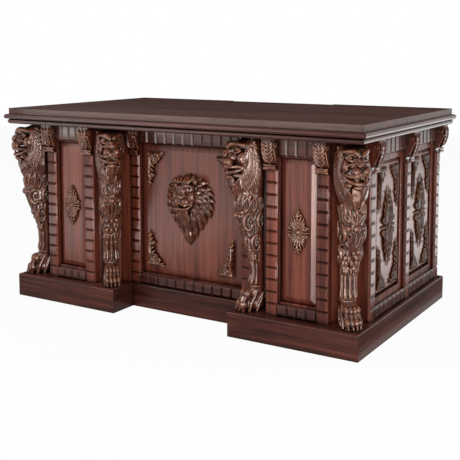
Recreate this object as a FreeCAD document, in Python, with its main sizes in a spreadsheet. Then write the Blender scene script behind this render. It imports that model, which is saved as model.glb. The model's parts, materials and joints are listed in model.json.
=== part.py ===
import FreeCAD, Part
import math
import os
import re
import Sketcher

# Executive desk with two pedestals, a kneehole, carved lion legs at the front corners and seven drawers.
# The carved front faces -Y, the user sits at +Y, +X is to the right of someone facing the front, +Z is up.
# The origin is on the floor under the middle of the desk. Every length is in millimetres.

doc = FreeCAD.newDocument("executive_desk")
sheet = doc.addObject("Spreadsheet::Sheet", "Sizes")
V = FreeCAD.Vector

SIZES = {
    # whole desk
    "desk_height": 790,
    "plinth_length": 1546,
    "plinth_depth": 880,
    "pedestal_base": 275,
    "pedestal_share": 0.152,
    "centre_setback": 125,
    "knee_recess": 30,
    # plinths
    "plinth_height": 92,
    "plinth_wall": 24,
    "plinth_cap": 20,
    "plinth_ease": 5,
    "centre_plinth_depth": 60,
    # slab and the double bead under its edge
    "slab_thickness": 24,
    "slab_overhang": 16,
    "bead_height": 20,
    "bead_overhang": 15,
    "lower_bead_height": 20,
    "lower_bead_overhang": 4,
    "moulding_depth": 45,
    "batten_width": 70,
    # pedestals
    "front_setback": 43,
    "side_setback": 18,
    "back_setback": 15,
    "notch_width": 114,
    "notch_depth": 95,
    "relief": 14,
    "frame_thickness": 22,
    "board_thickness": 18,
    "panel_edge": 10,
    "panel_rise": 8,
    # pilasters, friezes and capitals
    "pilaster_width": 48,
    "centre_pilaster_width": 44,
    "block_bevel": 6,
    "lower_frieze_height": 42,
    "upper_frieze_height": 64,
    "capital_height": 114,
    "capital_projection": 28,
    "capital_cap": 14,
    "capital_roll": 11,
    "capital_swell": 60,
    # frames and raised panels
    "front_stile": 52,
    "front_base_rail": 51,
    "front_head_rail": 69,
    "front_bevel": 22,
    "side_lip": 32,
    "side_base_rail": 66,
    "side_head_rail": 88,
    "side_bevel": 14,
    "centre_base_rail": 45,
    "centre_head_rail": 61,
    "centre_bevel": 28,
    # lion legs and the posts behind them
    "post_leg": 62,
    "lion_depth": 160,
    "lion_mane_width": 130,
    "lion_leg_width": 68,
    "lion_paw_width": 80,
    # lion mask, medallions and corner ornaments
    "mask_depth": 62,
    "carving_depth": 14,
    "corner_margin": 5,
    # face frames, runners and drawers
    "stile_width": 44,
    "rail_height": 20,
    "base_rail_height": 24,
    "top_rail_height": 24,
    "bottom_drawer_share": 0.42,
    "middle_drawer_share": 0.31,
    "centre_drawer_height": 98,
    "runner_bearing": 16,
    "runner_length": 520,
    "centre_runner_length": 430,
    "guide_height": 20,
    "drawer_front": 18,
    "drawer_rise": 8,
    "drawer_bevel": 18,
    "drawer_gap": 2,
    "slide_gap": 0.3,
    "drawer_length": 470,
    "centre_drawer_length": 390,
    "drawer_side": 12,
    "drawer_floor": 6,
    "drawer_floor_lift": 8,
    "drawer_headroom": 16,
    "knob_diameter": 32,
    "knob_neck": 16,
    "knob_length": 27,
    "knob_share": 0.26,
}
for row, (alias, size) in enumerate(SIZES.items(), start=1):
    sheet.set(f"A{row}", alias)
    sheet.set(f"B{row}", str(size))
    sheet.setAlias(f"B{row}", alias)
doc.recompute()

# Planes that the pieces share, as expressions in the sizes. They are those of the right pedestal.
datum = "0"
pedestal_width = "(pedestal_base + pedestal_share*plinth_length)"
plinth_inner = f"(plinth_length/2 - {pedestal_width})"
middle_x = f"(plinth_length/2 - {pedestal_width}/2)"
outer_x = "(plinth_length/2 - side_setback)"
inner_x = f"({plinth_inner} + side_setback)"
side_x = f"({outer_x} - relief)"
side_back = f"({side_x} - frame_thickness)"
board_x = f"({inner_x} + board_thickness)"
bay_left = f"({inner_x} + notch_width)"
bay_right = f"({outer_x} - notch_width)"
front_y = "(front_setback - plinth_depth/2)"
bay_y = f"({front_y} + relief)"
bay_back = f"({bay_y} + frame_thickness)"
notch_y = f"({front_y} + notch_depth)"
wall_back = f"({notch_y} + board_thickness)"
centre_y = f"({notch_y} + relief)"
centre_back = f"({centre_y} + frame_thickness)"
back_y = "(plinth_depth/2 - back_setback)"
frame_y = f"({back_y} - frame_thickness)"
knee_y = f"({back_y} - knee_recess)"
knee_frame_y = f"({knee_y} - frame_thickness)"
slab_x = "(plinth_length/2 + slab_overhang)"
slab_y = "(plinth_depth/2 + slab_overhang)"
slab_base = "(desk_height - slab_thickness)"
bead_base = f"({slab_base} - bead_height)"
carcase_top = f"({bead_base} - lower_bead_height)"
capital_base = f"({carcase_top} - capital_height)"
opening_left = f"({inner_x} + stile_width)"
opening_right = f"({side_x} - stile_width)"
opening_top = f"({carcase_top} - top_rail_height)"


def sized(text):
    """Name the sheet in front of each size in an expression."""
    return re.sub(r"[a-z]\w*", lambda word: "Sizes." + word.group(), text)


def measure(text):
    """The present value of an expression."""
    return float(sheet.evalExpression(sized(text)))


def bind(thing, name, text):
    thing.setExpression(name, sized(text))


def place(thing, x, y, z, turn=None):
    """Put a piece at a bound point, turned by a fixed rotation."""
    if turn:
        thing.Placement = FreeCAD.Placement(V(), turn)
    bind(thing, "Placement.Base.x", x)
    bind(thing, "Placement.Base.y", y)
    bind(thing, "Placement.Base.z", z)


def board(name, x_min, x_max, y_min, y_max, z_min, z_max):
    """A plain sawn board between six planes."""
    wood = doc.addObject("Part::Box", name)
    bind(wood, "Length", f"{x_max} - ({x_min})")
    bind(wood, "Width", f"{y_max} - ({y_min})")
    bind(wood, "Height", f"{z_max} - ({z_min})")
    place(wood, x_min, y_min, z_min)
    return wood


nodes = {}


def node(name, *solids):
    """Register a sub-part that is one piece or a set of equal or paired pieces."""
    whole = solids[0]
    if len(solids) > 1:
        whole = doc.addObject("Part::Compound", name)
        whole.Links = list(solids)
    whole.Label = name
    nodes[name] = whole


def both_pedestals(name, *solids):
    """Register the right sub-part and its mirror image in the left pedestal."""
    node("right_" + name, *solids)
    twin = doc.addObject("Part::Mirroring", "left_" + name)
    twin.Source = nodes["right_" + name]
    twin.Normal = V(1, 0, 0)
    node("left_" + name, twin)


def one_set(name, *solids, centre=()):
    """Register equal pieces of both pedestals, and those of the centre, as one set of separate solids."""
    right = doc.addObject("Part::Compound", "right_" + name)
    right.Links = list(solids)
    left = doc.addObject("Part::Mirroring", "left_" + name)
    left.Source = right
    left.Normal = V(1, 0, 0)
    node(name, right, left, *centre)


def reflected(source, plane_x):
    """A mirror image of a piece in an upright plane across the desk."""
    twin = doc.addObject("Part::Mirroring", source.Name + "_twin")
    twin.Source = source
    twin.Normal = V(1, 0, 0)
    bind(twin, "Base.x", plane_x)
    return twin


def origin_part(body, role):
    return next(item for item in body.Origin.OriginFeatures if item.Role == role)


def sketch(body, name, role, points, arcs=None):
    """A closed outline through bound points. An outward arc after a point is given by its centre."""
    arcs = arcs or {}
    drawing = body.newObject("Sketcher::SketchObject", name)
    drawing.AttachmentSupport = [(origin_part(body, role), "")]
    drawing.MapMode = "FlatFace"
    corners = [V(measure(across), measure(up), 0) for across, up in points]
    count = len(corners)
    inside = sum(corners, V()) / count
    for index, corner in enumerate(corners):
        following = corners[(index + 1) % count]
        edge = Part.LineSegment(corner, following)
        if index in arcs:
            edge = outward_arc(corner, following, measure(arcs[index]), inside)
        drawing.addGeometry(edge, False)

    def end_at(index, corner):
        return min((1, 2), key=lambda end: (drawing.getPoint(index, end) - corner).Length)

    for index in range(count):
        after = (index + 1) % count
        meeting = corners[after]
        drawing.addConstraint(Sketcher.Constraint(
            "Coincident", index, end_at(index, meeting), after, end_at(after, meeting)))
    for index, (across, up) in enumerate(points):
        end = end_at(index, corners[index])
        tie(drawing, "DistanceX", index, end, across)
        tie(drawing, "DistanceY", index, end, up)
    for index, centre in arcs.items():
        tie(drawing, "DistanceX", index, 3, centre)
    doc.recompute()
    return drawing


def outward_arc(start, end, centre_across, inside):
    """The shorter arc between two points about a centre at a given distance across, swelling outwards."""
    middle = (start + end) / 2
    normal = V(start.y - end.y, end.x - start.x, 0).normalize()
    centre = middle + normal * ((centre_across - middle.x) / normal.x)
    radius = (start - centre).Length
    crowns = (centre + normal * radius, centre - normal * radius)
    crown = min(crowns, key=lambda spot: (round((spot - middle).Length, 3), -(spot - inside).Length))
    return Part.Arc(start, crown, end)


def tie(drawing, kind, index, end, text):
    """Fix one coordinate of a sketch point to an expression."""
    number = drawing.addConstraint(Sketcher.Constraint(kind, -1, 1, index, end, measure(text)))
    bind(drawing, f"Constraints[{number}]", text)


def rectangle(x_min, x_max, y_min, y_max):
    return [(x_min, y_min), (x_max, y_min), (x_max, y_max), (x_min, y_max)]


# Plinths: hollow boxes open to the floor, with an eased upper edge. The lions stand on their caps.

def plinth(name, x_min, x_max, y_min, y_max):
    body = doc.addObject("PartDesign::Body", name)
    block = body.newObject("PartDesign::Pad", name + "_block")
    block.Profile = sketch(body, name + "_outline", "XY_Plane", rectangle(x_min, x_max, y_min, y_max))
    bind(block, "Length", "plinth_height")
    doc.recompute()
    hollow = body.newObject("PartDesign::Pocket", name + "_hollow")
    hollow.Profile = sketch(body, name + "_inside", "XY_Plane", rectangle(
        f"{x_min} + plinth_wall", f"{x_max} - plinth_wall",
        f"{y_min} + plinth_wall", f"{y_max} - plinth_wall"))
    hollow.Reversed = True
    bind(hollow, "Length", "plinth_height - plinth_cap")
    doc.recompute()
    top = measure("plinth_height")
    upper = [f"Edge{number}" for number, edge in enumerate(hollow.Shape.Edges, start=1)
             if all(abs(corner.Z - top) < 0.001 for corner in edge.Vertexes)]
    eased = body.newObject("PartDesign::Fillet", name + "_eased")
    eased.Base = (hollow, upper)
    bind(eased, "Radius", "plinth_ease")
    body.Tip = eased
    return body


both_pedestals("plinth", plinth(
    "plinth", plinth_inner, "plinth_length/2", "-plinth_depth/2", "plinth_depth/2"))
centre_plinth_y = "(centre_setback - plinth_depth/2)"
node("centre_plinth", plinth(
    "centre_plinth", f"-{plinth_inner}", plinth_inner,
    centre_plinth_y, f"{centre_plinth_y} + centre_plinth_depth"))


# Blocked strips: flat strips with bevelled edges, cut by V grooves into a row of equal blocks.

def blocked_strip(name, length, width, first, pitch, grooves):
    body = doc.addObject("PartDesign::Body", name)
    half = f"({width})/2"
    shoulder = "block_bevel - relief"
    strip = body.newObject("PartDesign::Pad", name + "_strip")
    strip.Profile = sketch(body, name + "_section", "XY_Plane", [
        (f"-{half}", datum), (half, datum), (half, shoulder), (f"{half} - block_bevel", "-relief"),
        (f"block_bevel - {half}", "-relief"), (f"-{half}", shoulder)])
    bind(strip, "Length", length)
    doc.recompute()
    groove = body.newObject("PartDesign::Pocket", name + "_groove")
    groove.Profile = sketch(body, name + "_vee", "YZ_Plane", [
        ("-relief", f"{first} - block_bevel"), (shoulder, first), ("-relief", f"{first} + block_bevel")])
    groove.Type = "ThroughAll"
    groove.Midplane = True
    doc.recompute()
    row = body.newObject("PartDesign::LinearPattern", name + "_grooves")
    row.Originals = [groove]
    row.Direction = (origin_part(body, "Z_Axis"), [""])
    row.Occurrences = grooves
    bind(row, "Length", f"({pitch})*{grooves - 1}")
    body.Tip = row
    return body


LEVEL = FreeCAD.Rotation(V(0, 1, 0), 90)
SIDEWAYS = FreeCAD.Rotation(V(0, 0, 1), 90)
LEVEL_SIDEWAYS = SIDEWAYS.multiply(LEVEL)
BACKWARDS = FreeCAD.Rotation(V(0, 0, 1), 180)
PILASTER_BLOCKS = 11
FRONT_BLOCKS = 4
SIDE_BLOCKS = 7
CENTRE_BLOCKS = 11

pilaster_length = f"({capital_base} - plinth_height)"


def pilaster(name, width, x, y, turn=None):
    """An upright strip of blocks above a plain block as high as the lower frieze."""
    body = blocked_strip(
        name, pilaster_length, width, "lower_frieze_height",
        f"({pilaster_length} - lower_frieze_height)/{PILASTER_BLOCKS}", PILASTER_BLOCKS)
    place(body, x, y, "plinth_height", turn)
    return body


def frieze(name, length, height, blocks, x, y, z, turn):
    """A level strip of equal blocks."""
    body = blocked_strip(name, length, height, f"({length})/{blocks}", f"({length})/{blocks}", blocks - 1)
    place(body, x, y, z, turn)
    return body


lower_frieze_z = "(plinth_height + lower_frieze_height/2)"
upper_frieze_z = f"({carcase_top} - upper_frieze_height/2)"

front_pilasters_x = [f"({bay_left} + pilaster_width/2)", f"({bay_right} - pilaster_width/2)"]
side_middle_y = f"(({notch_y} + {back_y})/2)"
side_pilasters_y = [
    f"({notch_y} + pilaster_width/2)", side_middle_y, f"({back_y} - pilaster_width/2)"]
centre_pilaster_x = f"({inner_x} - centre_pilaster_width/2)"

one_set("front_pilasters", *[
    pilaster(f"front_pilaster_{number}", "pilaster_width", x, bay_y)
    for number, x in enumerate(front_pilasters_x)])
one_set("side_pilasters", *[
    pilaster(f"side_pilaster_{number}", "pilaster_width", side_x, y, SIDEWAYS)
    for number, y in enumerate(side_pilasters_y)])
node("centre_pilasters", *[
    pilaster(f"centre_pilaster_{number}", "centre_pilaster_width", f"{sign}{centre_pilaster_x}", centre_y)
    for number, sign in enumerate(["-", "1*"])])

front_run = f"({bay_right} - {bay_left} - 2*pilaster_width)"
side_run = f"(({back_y} - {notch_y} - 3*pilaster_width)/2)"
centre_run = f"(2*({inner_x} - centre_pilaster_width))"
side_starts_y = [f"({notch_y} + pilaster_width)", f"({side_middle_y} + pilaster_width/2)"]

friezes = []
centre_friezes = []
for level, height, z in [("lower", "lower_frieze_height", lower_frieze_z),
                         ("upper", "upper_frieze_height", upper_frieze_z)]:
    friezes.append(frieze(
        f"front_{level}_frieze", front_run, height, FRONT_BLOCKS,
        f"({bay_left} + pilaster_width)", bay_y, z, LEVEL))
    for number, y in enumerate(side_starts_y):
        friezes.append(frieze(
            f"side_{level}_frieze_{number}", side_run, height, SIDE_BLOCKS, side_x, y, z, LEVEL_SIDEWAYS))
    centre_friezes.append(frieze(
        f"centre_{level}_frieze", centre_run, height, CENTRE_BLOCKS,
        f"-{centre_run}/2", centre_y, z, LEVEL))
one_set("friezes", *friezes, centre=centre_friezes)


# Capitals: carved brackets on the pilasters with a flat cap, a swelling leaf and a small roll below.

def capital(name, width, x, y, turn=None):
    body = doc.addObject("PartDesign::Body", name)
    reach = "(relief + capital_projection)"
    leaf_top = "(capital_height - capital_cap)"
    neck_y = "-(relief + capital_projection/5)"
    roll_top = "2*capital_roll"
    bracket = body.newObject("PartDesign::Pad", name + "_bracket")
    bracket.Profile = sketch(
        body, name + "_profile", "YZ_Plane",
        [(datum, datum), (datum, "capital_height"), (f"-{reach}", "capital_height"),
         (f"-{reach}", leaf_top), (neck_y, roll_top), (neck_y, datum)],
        {3: "capital_swell", 4: neck_y})
    bind(bracket, "Length", width)
    bracket.Midplane = True
    body.Tip = bracket
    place(body, x, y, capital_base, turn)
    return body


front_capitals = [
    capital(f"front_capital_{number}", "pilaster_width", x, bay_y)
    for number, x in enumerate(front_pilasters_x)]
side_capitals = [
    capital(f"side_capital_{number}", "pilaster_width", side_x, y, SIDEWAYS)
    for number, y in enumerate(side_pilasters_y)]
centre_capitals = [
    capital(f"centre_capital_{number}", "centre_pilaster_width", f"{sign}{centre_pilaster_x}", centre_y)
    for number, sign in enumerate(["-", "1*"])]
one_set("capitals", *front_capitals, *side_capitals, centre=centre_capitals)


# Frames and raised panels: a panel stands in the opening of its frame with its back flush with the frame.

def raised_panel(name, start, end, low, high, back, edge, rise, bevel, turn=None):
    """A board whose face rises over a bevel to a flat field. It faces -Y before it is turned."""
    plate = board(name + "_plate", start, end, f"{back} - {edge}", back, low, high)
    field = doc.addObject("Part::Wedge", name + "_field")
    bind(field, "Ymin", f"{back} - {edge} - {rise}")
    bind(field, "Ymax", f"{back} - {edge}")
    bind(field, "Xmin", f"{start} + {bevel}")
    bind(field, "Xmax", f"{end} - {bevel}")
    bind(field, "Zmin", f"{low} + {bevel}")
    bind(field, "Zmax", f"{high} - {bevel}")
    bind(field, "X2min", start)
    bind(field, "X2max", end)
    bind(field, "Z2min", low)
    bind(field, "Z2max", high)
    whole = doc.addObject("Part::MultiFuse", name)
    whole.Shapes = [plate, field]
    whole.Refine = True
    if turn:
        whole.Placement = FreeCAD.Placement(V(), turn)
    return whole


front_left = f"({bay_left} + front_stile)"
front_right = f"({bay_right} - front_stile)"
front_low = "(plinth_height + front_base_rail)"
front_high = f"({carcase_top} - front_head_rail)"
both_pedestals(
    "front_frame",
    board("front_stile_0", bay_left, front_left, bay_y, bay_back, "plinth_height", carcase_top),
    board("front_stile_1", front_right, bay_right, bay_y, bay_back, "plinth_height", carcase_top),
    board("front_rail_0", front_left, front_right, bay_y, bay_back, "plinth_height", front_low),
    board("front_rail_1", front_left, front_right, bay_y, bay_back, front_high, carcase_top))
one_set("front_panels", raised_panel(
    "front_panel", front_left, front_right, front_low, front_high, bay_back,
    "panel_edge", "panel_rise", "front_bevel"))

side_low = "(plinth_height + side_base_rail)"
side_high = f"({carcase_top} - side_head_rail)"
side_openings = [
    (f"({notch_y} + pilaster_width + side_lip)", f"({side_middle_y} - pilaster_width/2 - side_lip)"),
    (f"({side_middle_y} + pilaster_width/2 + side_lip)", f"({back_y} - pilaster_width - side_lip)")]
side_stiles = [
    (wall_back, side_openings[0][0]), (side_openings[0][1], side_openings[1][0]),
    (side_openings[1][1], frame_y)]
side_frame = [
    board(f"side_stile_{number}", side_back, side_x, start, end, "plinth_height", carcase_top)
    for number, (start, end) in enumerate(side_stiles)]
side_panels = []
for number, (start, end) in enumerate(side_openings):
    side_frame.append(board(
        f"side_base_rail_{number}", side_back, side_x, start, end, "plinth_height", side_low))
    side_frame.append(board(
        f"side_head_rail_{number}", side_back, side_x, start, end, side_high, carcase_top))
    side_panels.append(raised_panel(
        f"side_panel_{number}", start, end, side_low, side_high, f"-{side_back}",
        "panel_edge", "panel_rise", "side_bevel", SIDEWAYS))
both_pedestals("side_frame", *side_frame)
one_set("side_panels", *side_panels)

centre_half = f"({inner_x} - centre_pilaster_width)"
centre_low = "(plinth_height + centre_base_rail)"
centre_high = f"({carcase_top} - centre_head_rail)"
node(
    "centre_frame",
    board("centre_stile_0", f"-{inner_x}", f"-{centre_half}", centre_y, centre_back,
          "plinth_height", carcase_top),
    board("centre_stile_1", centre_half, inner_x, centre_y, centre_back, "plinth_height", carcase_top),
    board("centre_rail_0", f"-{centre_half}", centre_half, centre_y, centre_back,
          "plinth_height", centre_low),
    board("centre_rail_1", f"-{centre_half}", centre_half, centre_y, centre_back,
          centre_high, carcase_top))
node("centre_panel", raised_panel(
    "centre_panel", f"-{centre_half}", centre_half, centre_low, centre_high, centre_back,
    "panel_edge", "panel_rise", "centre_bevel"))


# Corner boards: the plain walls of the square notches, and the kneehole side of each pedestal.

one_set(
    "corner_boards",
    board("outer_return", f"{bay_right} - board_thickness", bay_right, bay_back, wall_back,
          "plinth_height", carcase_top),
    board("outer_wall", bay_right, side_x, notch_y, wall_back, "plinth_height", carcase_top),
    board("inner_return", bay_left, f"{bay_left} + board_thickness", bay_back, wall_back,
          "plinth_height", carcase_top),
    board("inner_wall", inner_x, bay_left, notch_y, wall_back, "plinth_height", carcase_top))
both_pedestals("inner_side", board(
    "inner_side", inner_x, board_x, wall_back, frame_y, "plinth_height", carcase_top))


# Corner posts: three-sided posts in the inner corners of the notches, with a diagonal face for the lion.

def corner_post(name, x, turn):
    post = doc.addObject("Part::Wedge", name)
    post.Xmin = post.Ymin = post.Zmin = post.Z2min = post.X2min = post.X2max = 0
    bind(post, "Xmax", "post_leg")
    bind(post, "Ymax", "post_leg")
    bind(post, "Zmax", f"{carcase_top} - plinth_height")
    bind(post, "Z2max", f"{carcase_top} - plinth_height")
    place(post, x, notch_y, "plinth_height", turn)
    return post


one_set(
    "corner_posts",
    corner_post("outer_post", bay_right, FreeCAD.Rotation(V(0, 0, 1), -90)),
    corner_post("inner_post", bay_left, BACKWARDS))


# Lion legs: the hardest carving. A lion's head with a ruff, an open mouth and a beard stands on a swelling
# breast that draws in to a fluted leg and ends in a paw with four toes. Local -Y is where the lion looks.

def ellipsoid(x, y, z, across, deep, tall):
    """A rounded lump with its own radius along each axis."""
    stretch = FreeCAD.Matrix()
    stretch.scale(across, deep, tall)
    lump = Part.makeSphere(1).transformGeometry(stretch)
    lump.translate(V(x, y, z))
    return lump


def leg_section(z, front, half, heel):
    """A level section with a flat back, swelling flanks and a round front."""
    points = [V(side * across, -forward, z)
              for across, forward in [(heel, 0), (half, 0.45 * front), (0.62 * half, 0.88 * front)]
              for side in (1, -1)]
    flank, flank_twin = points[2], points[3]
    shoulder, shoulder_twin = points[4], points[5]
    return Part.Wire([
        Part.LineSegment(points[1], points[0]).toShape(),
        Part.Arc(points[0], flank, shoulder).toShape(),
        Part.Arc(shoulder, V(0, -front, z), shoulder_twin).toShape(),
        Part.Arc(shoulder_twin, flank_twin, points[1]).toShape()])


def upright_oval(y, z, across, tall):
    """A squarish oval in a plane across the lion."""
    bulge = 0.8
    points = [V(across, y, z), V(bulge * across, y, z + bulge * tall), V(0, y, z + tall),
              V(-bulge * across, y, z + bulge * tall), V(-across, y, z),
              V(-bulge * across, y, z - bulge * tall), V(0, y, z - tall),
              V(bulge * across, y, z - bulge * tall)]
    return Part.Wire([
        Part.Arc(points[start], points[start + 1], points[(start + 2) % 8]).toShape()
        for start in (0, 2, 4, 6)])


def level_oval(y, z, across, deep):
    """A level oval, the section of the beard."""
    oval = upright_oval(0, 0, across, deep)
    oval.rotate(V(), V(1, 0, 0), 90)
    oval.translate(V(0, y, z))
    return oval


# Height, forward reach and half width of the body, as shares of the lion's height, depth and ruff width.
LION_STATIONS = [
    (0.000, 0.575, 0.50), (0.091, 0.467, 0.50), (0.145, 0.425, 0.49), (0.257, 0.370, 0.48),
    (0.339, 0.425, 0.51), (0.407, 0.527, 0.54), (0.500, 0.645, 0.60), (0.565, 0.715, 0.66),
    (0.623, 0.750, 0.73), (0.675, 0.728, 0.80), (0.738, 0.680, 0.83), (0.833, 0.640, 0.84),
    (0.927, 0.630, 0.82), (1.000, 0.550, 0.76)]


def lion_shape():
    tall = measure(f"{carcase_top} - plinth_height")
    deep = measure("lion_depth")
    ruff = measure("lion_mane_width") / 2
    leg = measure("lion_leg_width") / 2
    paw = measure("lion_paw_width") / 2
    body = Part.makeLoft([
        leg_section(rise * tall, reach * deep, max(leg, share * ruff), 0.9 * leg)
        for rise, reach, share in LION_STATIONS], True)
    lumps = [
        # ruff around the face, bib of the mane, boss on the breast
        ellipsoid(0, -0.50 * deep, 0.857 * tall, ruff, 0.13 * deep, 0.135 * tall),
        ellipsoid(0, -0.60 * deep, 0.760 * tall, 0.74 * ruff, 0.17 * deep, 0.085 * tall),
        ellipsoid(0, -0.72 * deep, 0.600 * tall, 0.26 * ruff, 0.08 * deep, 0.028 * tall)]
    for side in (1, -1):
        # ears, brows, cheeks
        lumps.append(ellipsoid(
            side * 0.72 * ruff, -0.46 * deep, 0.950 * tall, 0.20 * ruff, 0.11 * deep, 0.032 * tall))
        lumps.append(ellipsoid(
            side * 0.34 * ruff, -0.66 * deep, 0.938 * tall, 0.30 * ruff, 0.11 * deep, 0.024 * tall))
        lumps.append(ellipsoid(
            side * 0.45 * ruff, -0.62 * deep, 0.860 * tall, 0.36 * ruff, 0.13 * deep, 0.054 * tall))
        # toes of the paw, the outer ones set back
        lumps.append(ellipsoid(
            side * 0.26 * paw, -0.47 * deep, 0.02 * tall, 0.27 * paw, 0.20 * deep, 0.047 * tall))
        lumps.append(ellipsoid(
            side * 0.72 * paw, -0.42 * deep, 0.02 * tall, 0.27 * paw, 0.17 * deep, 0.041 * tall))
    muzzle = Part.makeLoft([
        upright_oval(-reach * deep, rise * tall, share * ruff, half * tall)
        for reach, rise, share, half in [(0.53, 0.880, 0.60, 0.053), (0.71, 0.876, 0.55, 0.046),
                                         (0.89, 0.873, 0.51, 0.041), (1.00, 0.873, 0.37, 0.028)]], True)
    jaw = Part.makeLoft([
        upright_oval(-reach * deep, rise * tall, share * ruff, half * tall)
        for reach, rise, share, half in [(0.50, 0.792, 0.46, 0.028), (0.70, 0.789, 0.41, 0.025),
                                         (0.86, 0.789, 0.26, 0.016)]], True)
    beard = Part.makeLoft([
        level_oval(-0.77 * deep, rise * tall, share * ruff, share * ruff)
        for rise, share in [(0.785, 0.27), (0.740, 0.20), (0.700, 0.06)]], True)
    whole = body.fuse(lumps + [muzzle, jaw, beard])
    room = Part.makeBox(4 * ruff, 2 * deep, tall, V(-2 * ruff, -2 * deep, 0))
    return whole.common(room).removeSplitter().Solids[0]


lion_carving = lion_shape()
seat = measure("post_leg") / 2
for name, direction, corner, angle in [
        ("lion_right_outer", 1, bay_right, 45), ("lion_right_inner", -1, bay_left, -45),
        ("lion_left_inner", 1, f"-{bay_left}", 45), ("lion_left_outer", -1, f"-{bay_right}", -45)]:
    lion = doc.addObject("Part::Feature", name)
    lion.Shape = lion_carving
    lion.Placement = FreeCAD.Placement(
        V(measure(corner) + direction * seat, measure(notch_y) - seat, measure("plinth_height")),
        FreeCAD.Rotation(V(0, 0, 1), angle))
    node(name, lion)


# Lion mask on the centre panel: a pointed mane of layered locks around a broad face.

MASK_LOCKS = 20
MASK_BROW = 0.12
MASK_SHARE = (0.555, 0.62)
MASK_LEVEL = 0.527


def mask_outline(half, tall, y):
    """A drop-shaped outline of equal outward locks, pointed below, widest at the brow."""

    def rim(step, swell):
        turn = 2 * math.pi * step / MASK_LOCKS
        across = math.sin(turn)
        up = MASK_BROW + (1 - MASK_BROW) * math.cos(turn)
        fall = abs(turn - math.pi) / (math.pi / 2)
        if fall < 1:
            across = math.copysign(1 - (1 - fall) ** 1.7, math.pi - turn)
            up = MASK_BROW - (1 + MASK_BROW) * (1 - fall)
        return V(half * swell * across, y, tall * swell * up)

    edges = []
    for step in range(MASK_LOCKS):
        edges.append(Part.Arc(rim(step, 0.95), rim(step + 0.5, 1), rim(step + 1, 0.95)).toShape())
    return Part.Wire(edges)


def mask_shape():
    wide = MASK_SHARE[0] * measure(centre_field_width) / 2
    tall = MASK_SHARE[1] * measure(centre_field_height) / 2
    deep = measure("mask_depth")
    mane = Part.makeLoft([
        mask_outline(scale * wide, scale * tall, -reach * deep)
        for scale, reach in [(1.0, 0), (0.97, 0.18), (0.72, 0.45), (0.45, 0.62)]], True, True)
    lumps = [
        # forehead, muzzle, nose, chin
        ellipsoid(0, -0.50 * deep, 0.30 * tall, 0.46 * wide, 0.32 * deep, 0.32 * tall),
        ellipsoid(0, -0.60 * deep, -0.12 * tall, 0.36 * wide, 0.36 * deep, 0.26 * tall),
        ellipsoid(0, -0.80 * deep, 0.02 * tall, 0.20 * wide, 0.20 * deep, 0.13 * tall),
        ellipsoid(0, -0.52 * deep, -0.42 * tall, 0.24 * wide, 0.30 * deep, 0.22 * tall)]
    for side in (1, -1):
        # brows and cheeks
        lumps.append(ellipsoid(
            side * 0.22 * wide, -0.66 * deep, 0.30 * tall, 0.20 * wide, 0.22 * deep, 0.12 * tall))
        lumps.append(ellipsoid(
            side * 0.38 * wide, -0.46 * deep, 0.00 * tall, 0.22 * wide, 0.28 * deep, 0.28 * tall))
    room = Part.makeBox(4 * wide, deep, 4 * tall, V(-2 * wide, -deep, -2 * tall))
    return mane.fuse(lumps).common(room).removeSplitter().Solids[0]


centre_field_y = f"({centre_back} - panel_edge - panel_rise)"
centre_field_width = f"(2*{centre_half} - 2*centre_bevel)"
centre_field_height = f"({centre_high} - {centre_low} - 2*centre_bevel)"
mask = doc.addObject("Part::Feature", "lion_mask")
mask.Shape = mask_shape()
mask.Placement = FreeCAD.Placement(
    V(0, measure(centre_field_y), measure(f"{centre_low} + {MASK_LEVEL}*({centre_high} - {centre_low})")),
    FreeCAD.Rotation())
node("lion_mask", mask)


# Medallions and corner ornaments: flat sprays of pointed leaves glued to the panel fields.

def leaf(start, end, width, thickness):
    """A pointed leaf between two points of an upright plane, with its back at y = 0."""
    root = V(start[0], 0, start[1])
    tip = V(end[0], 0, end[1])
    along = (tip - root).normalize()
    across = V(-along.z, 0, along.x) * (width / 2)
    middle = (root + tip) * 0.5
    rim = Part.Wire([
        Part.Arc(root, middle + across, tip).toShape(), Part.Arc(tip, middle - across, root).toShape()])
    return Part.Face(rim).extrude(V(0, -thickness, 0))


def medallion_shape(width, height):
    """Eight leaves around a domed boss."""
    thick = measure("carving_depth")
    leaves = [
        leaf((0, -height / 2), (0, height / 2), 0.42 * width, 0.7 * thick),
        leaf((-width / 2, 0), (width / 2, 0), 0.26 * height, 0.6 * thick)]
    for side in (1, -1):
        leaves.append(leaf((side * -0.36 * width, -0.30 * height), (side * 0.36 * width, 0.30 * height),
                           0.34 * width, 0.5 * thick))
    boss = ellipsoid(0, -0.5 * thick, 0, 0.26 * width, 0.5 * thick, 0.16 * height)
    return leaves[0].fuse(leaves[1:] + [boss]).removeSplitter().Solids[0]


def corner_shape(run, rise):
    """Leaves that spread from a corner along both sides. The corner is at the upper left."""
    thick = measure("carving_depth")
    sprays = [
        leaf((0.10 * run, 0), (0.16 * run, -rise), 0.34 * run, 0.6 * thick),
        leaf((0, -0.06 * rise), (run, -0.09 * rise), 0.13 * rise, 0.6 * thick),
        leaf((0.02 * run, -0.02 * rise), (0.66 * run, -0.40 * rise), 0.30 * run, 0.7 * thick),
        leaf((0.12 * run, -0.42 * rise), (0.46 * run, -0.70 * rise), 0.20 * run, 0.5 * thick),
        leaf((0.42 * run, -0.08 * rise), (0.86 * run, -0.26 * rise), 0.20 * run, 0.5 * thick)]
    return sprays[0].fuse(sprays[1:]).removeSplitter().Solids[0]


def carving(name, shape, x, y, z, turn=FreeCAD.Rotation()):
    piece = doc.addObject("Part::Feature", name)
    piece.Shape = shape
    piece.Placement = FreeCAD.Placement(V(x, y, z), turn)
    return piece


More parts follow.
